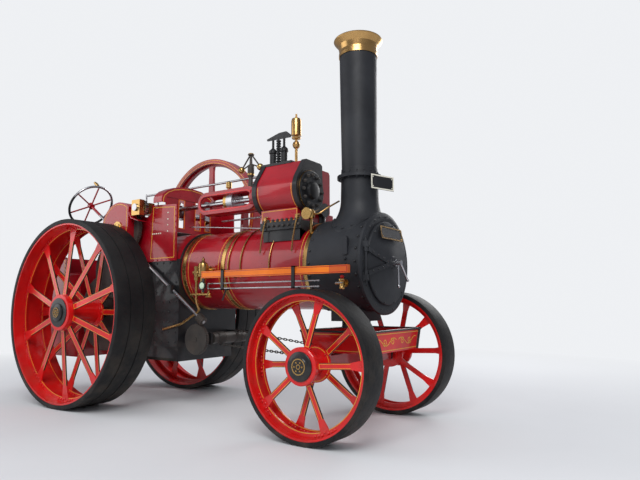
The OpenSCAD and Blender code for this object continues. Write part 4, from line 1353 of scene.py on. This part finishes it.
# the loft's last row of quads would join the inside to the outside: an underside and a floor replace it
tray = (points, [quads[0][:12], np.array([[0, 1, 2, 3]]), np.array([[12, 13, 14, 15]])])
seats = pair(lambda s: slab((AXLE_X - 60, s * 300 - 40, 659), (AXLE_X + 60, s * 300 + 40, TRAY_Z + 1)))
put("tray_box", [tray, *seats], "scarlet", "front_axle", ["spud_tray"])
put("tray_beading", [
    *pair(lambda s: tube([(TRAY_X0 - 6, s * TOP_W, TOP_Z), (TRAY_X1 + 6, s * TOP_W, TOP_Z)], 10)),
    *(tube([(x, -TOP_W, TOP_Z), (x, TOP_W, TOP_Z)], 10) for x in (TRAY_X0, TRAY_X1))], "black", "front_axle")
print("tray depth:", DEPTH)

# %% [markdown]
# ## Lines and irons of the tray
# The painter's scroll on the tray's front is ornament only. A curl is the spiral r = 34 (1 - 0.72 share)
# while its angle runs through 2.6 half turns, and a sine wave joins the curls. Corner irons with rivets
# hold the sheets together.

# %% tray lines and irons
SCROLL_Z = TRAY_Z + 88
share = np.linspace(0, 1, 40)
on_front = np.full(len(share), TRAY_X1)


def scroll(side):
    """Two curls and a wave on one half of the tray's front."""
    turn, r = share * 2.6 * np.pi, 34 * (1 - 0.72 * share)
    wave = np.linspace(20, 380, len(share))
    curls = [np.column_stack([on_front, side * (y + r * np.cos(turn)), SCROLL_Z + flip * r * np.sin(turn)])
             for y, flip in ((95, 1), (235, -1))]
    ripple = np.column_stack([on_front, side * wave, SCROLL_Z + 30 * np.sin(wave / 45)])
    return [strip(path, (1, 0, 0), width, loop=False)
            for path, width in ((curls[0], 7), (curls[1], 7), (ripple, 6))]


def side_line(side):
    """The line on one flared side of the tray: its y grows evenly from foot to top."""
    corners = ((TRAY_X0 + 22, TRAY_Z + 20), (TRAY_X1 - 22, TRAY_Z + 20), (TRAY_X1 - 22, TOP_Z - 24),
               (TRAY_X0 + 22, TOP_Z - 24))
    return strip([(x, side * (FOOT_W + (TOP_W - FOOT_W) * (z - TRAY_Z) / DEPTH), z) for x, z in corners],
                 (0, side * 0.94, -0.34), 6)


front_line = [(TRAY_X1, y, z) for y, z in ((-410, TRAY_Z + 18), (410, TRAY_Z + 18), (452, TOP_Z - 24),
                                           (-452, TOP_Z - 24))]
put("tray_lines", [strip(front_line, (1, 0, 0), 6), *scroll(-1), *scroll(1), *pair(side_line)], "gold",
    "front_axle")
CORNERS = [(side, x, way) for side in (-1, 1) for x, way in ((TRAY_X1, 1), (TRAY_X0, -1))]
iron = ((FOOT_W - 2, TRAY_Z), (FOOT_W - 46, TRAY_Z), (TOP_W - 48, TOP_Z - 8), (TOP_W - 2, TOP_Z - 8))
irons = [plate_x([(side * y, z) for y, z in iron], min(x, x + 5 * way), max(x, x + 5 * way))
         for side, x, way in CORNERS]
iron_heads = [many(dome(8, 6), [(x + 5 * way, side * (FOOT_W - 20 + d * 0.36), TRAY_Z + d)
                                for d in (25, 90, 155)], (way, 0, 0)) for side, x, way in CORNERS]
put("tray_irons", irons + iron_heads, "black", "front_axle")
put("axle_bolts", pair(lambda s: many(nut(18, 18), [(AXLE_X + dx, s * 300 + dy, 545)
                                                    for dx in (-36, 36) for dy in (-24, 24)], (0, 0, -1))),
    "iron", "front_axle")
print("tray dressed:", len(made), "pieces in all")

# %% [markdown]
# ## Camera
# The camera is the one that the photo's wheels and boiler fit. Its place is in metres, its turn is a look
# direction with a little roll, and its lens follows from the focal length in pixels: lens = sensor * focal
# / width.

# %% camera
SENSOR, FOCAL_PIXELS, WIDTH_PIXELS = 36.0, 545.25, 640.0
YAW, PITCH, ROLL = -0.597, 0.115, -0.003
cam = bpy.data.objects.new("photo_camera", bpy.data.cameras.new("photo_camera"))
bpy.context.collection.objects.link(cam)
view = Vector((math.sin(YAW) * math.cos(PITCH), math.cos(YAW) * math.cos(PITCH), math.sin(PITCH)))
cam_turn = view.to_track_quat("-Z", "Y").to_matrix() @ Matrix.Rotation(ROLL, 3, "Z")
cam.matrix_world = Matrix.Translation((5.561 - MID, -4.339, 1.092)) @ cam_turn.to_4x4()
cam.data.sensor_width = SENSOR
cam.data.lens = SENSOR * FOCAL_PIXELS / WIDTH_PIXELS
cam.data.clip_end = 200.0
bpy.context.scene.camera = cam
print("lens:", round(cam.data.lens, 2), "mm")

# %% [markdown]
# ## Floor and world
# A plain floor catches the shadow. A horizon would distract, so beyond a few metres the floor glows in the
# background's own colour, but only for rays from the camera or through glass: its light on the object stays
# real. The world answers by the kind of ray too, so that polished brass mirrors a darker room than the one
# behind it.

# %% floor
BACKDROP = rgb(0.86, 0.875, 0.90)
FLOOR_HALF, FADE_FROM, FADE_TO = 60.0, 3.6, 8.5


def seen_ray(any_sock, *kinds):
    """1 for rays of the named kinds, or for rays from the camera and through glass; otherwise 0."""
    outs = any_sock.node("ShaderNodeLightPath").out.node.outputs
    kinds = kinds or ("Is Camera Ray", "Is Transmission Ray")
    return sum(Sock(any_sock.tree, outs[kind]) for kind in kinds).clamp()


plane = bpy.data.meshes.new("floor")
plane.from_pydata([(i * FLOOR_HALF, j * FLOOR_HALF, 0) for i, j in ((-1, -1), (1, -1), (1, 1), (-1, 1))], [],
                  [(0, 1, 2, 3)])
floor = bpy.data.objects.new("floor", plane)
bpy.context.collection.objects.link(floor)
ground = Paint("floor")
ground_color = ground.noise(0.8).ramp(0.2, 0.9).mix(rgb(0.62, 0.625, 0.64), rgb(0.65, 0.655, 0.67))
plane.materials.append(ground.finish(ground_color, rough=0.9))
away = ((ground.x - MID) * (ground.x - MID) + ground.y * ground.y) ** 0.5
glow = ground.at.node("ShaderNodeEmission", {"Color": BACKDROP, "Strength": 1.0})
solid = Sock(ground.tree, ground.bsdf.outputs[0])
fade = away.ramp(FADE_FROM, FADE_TO) * seen_ray(ground.at)
both = ground.at.node("ShaderNodeMixShader", {0: fade, 1: solid, 2: glow})
ground.tree.links.new(both.out, ground.tree.nodes["Material Output"].inputs["Surface"])
print("floor fades from", FADE_FROM, "to", FADE_TO, "m")

# %% world
world = bpy.data.worlds.new("studio")
bpy.context.scene.world = world
world.use_nodes = True
back = world.node_tree.nodes["Background"]
sky = Sock(world.node_tree, back.outputs[0])
seen = seen_ray(sky)
mirrored = seen_ray(sky, "Is Glossy Ray")
tint = seen.mix(mirrored.mix(rgb(0.60, 0.62, 0.66), rgb(0.26, 0.27, 0.30)), BACKDROP)
world.node_tree.links.new(tint.out, back.inputs["Color"])
back.inputs["Strength"].default_value = 1.0
print("world ready")


# %% [markdown]
# ## Lights
# The photo was taken in bright, soft daylight. A large square light above the camera stands for the sky's
# bright side, a weaker one fills the shadows from the rear, and a third one draws an edge along the far
# side.

# %% lights
def area_light(name, at, target, size, power):
    """A soft square light that looks from one point to another."""
    data = bpy.data.lights.new(name, "AREA")
    data.size = size
    data.energy = power
    ob = bpy.data.objects.new(name, data)
    ob.location = at
    ob.rotation_euler = (Vector(target) - Vector(at)).to_track_quat("-Z", "Y").to_euler()
    bpy.context.collection.objects.link(ob)


area_light("key", (4.5, -6.5, 7.5), (0.3, 0, 1.4), 4.5, 520)
area_light("fill", (-6.0, -5.0, 4.0), (0, 0, 1.2), 6.0, 170)
area_light("rim", (1.5, 7.5, 5.0), (0, 0, 1.6), 4.0, 280)
bpy.context.scene.view_settings.view_transform = "Standard"
print("stage ready")

# %% sizes for the record and finish
print("pieces:", len(made), "faces:", sum(n for _, n in made), "largest:", max(made, key=lambda m: m[1]))
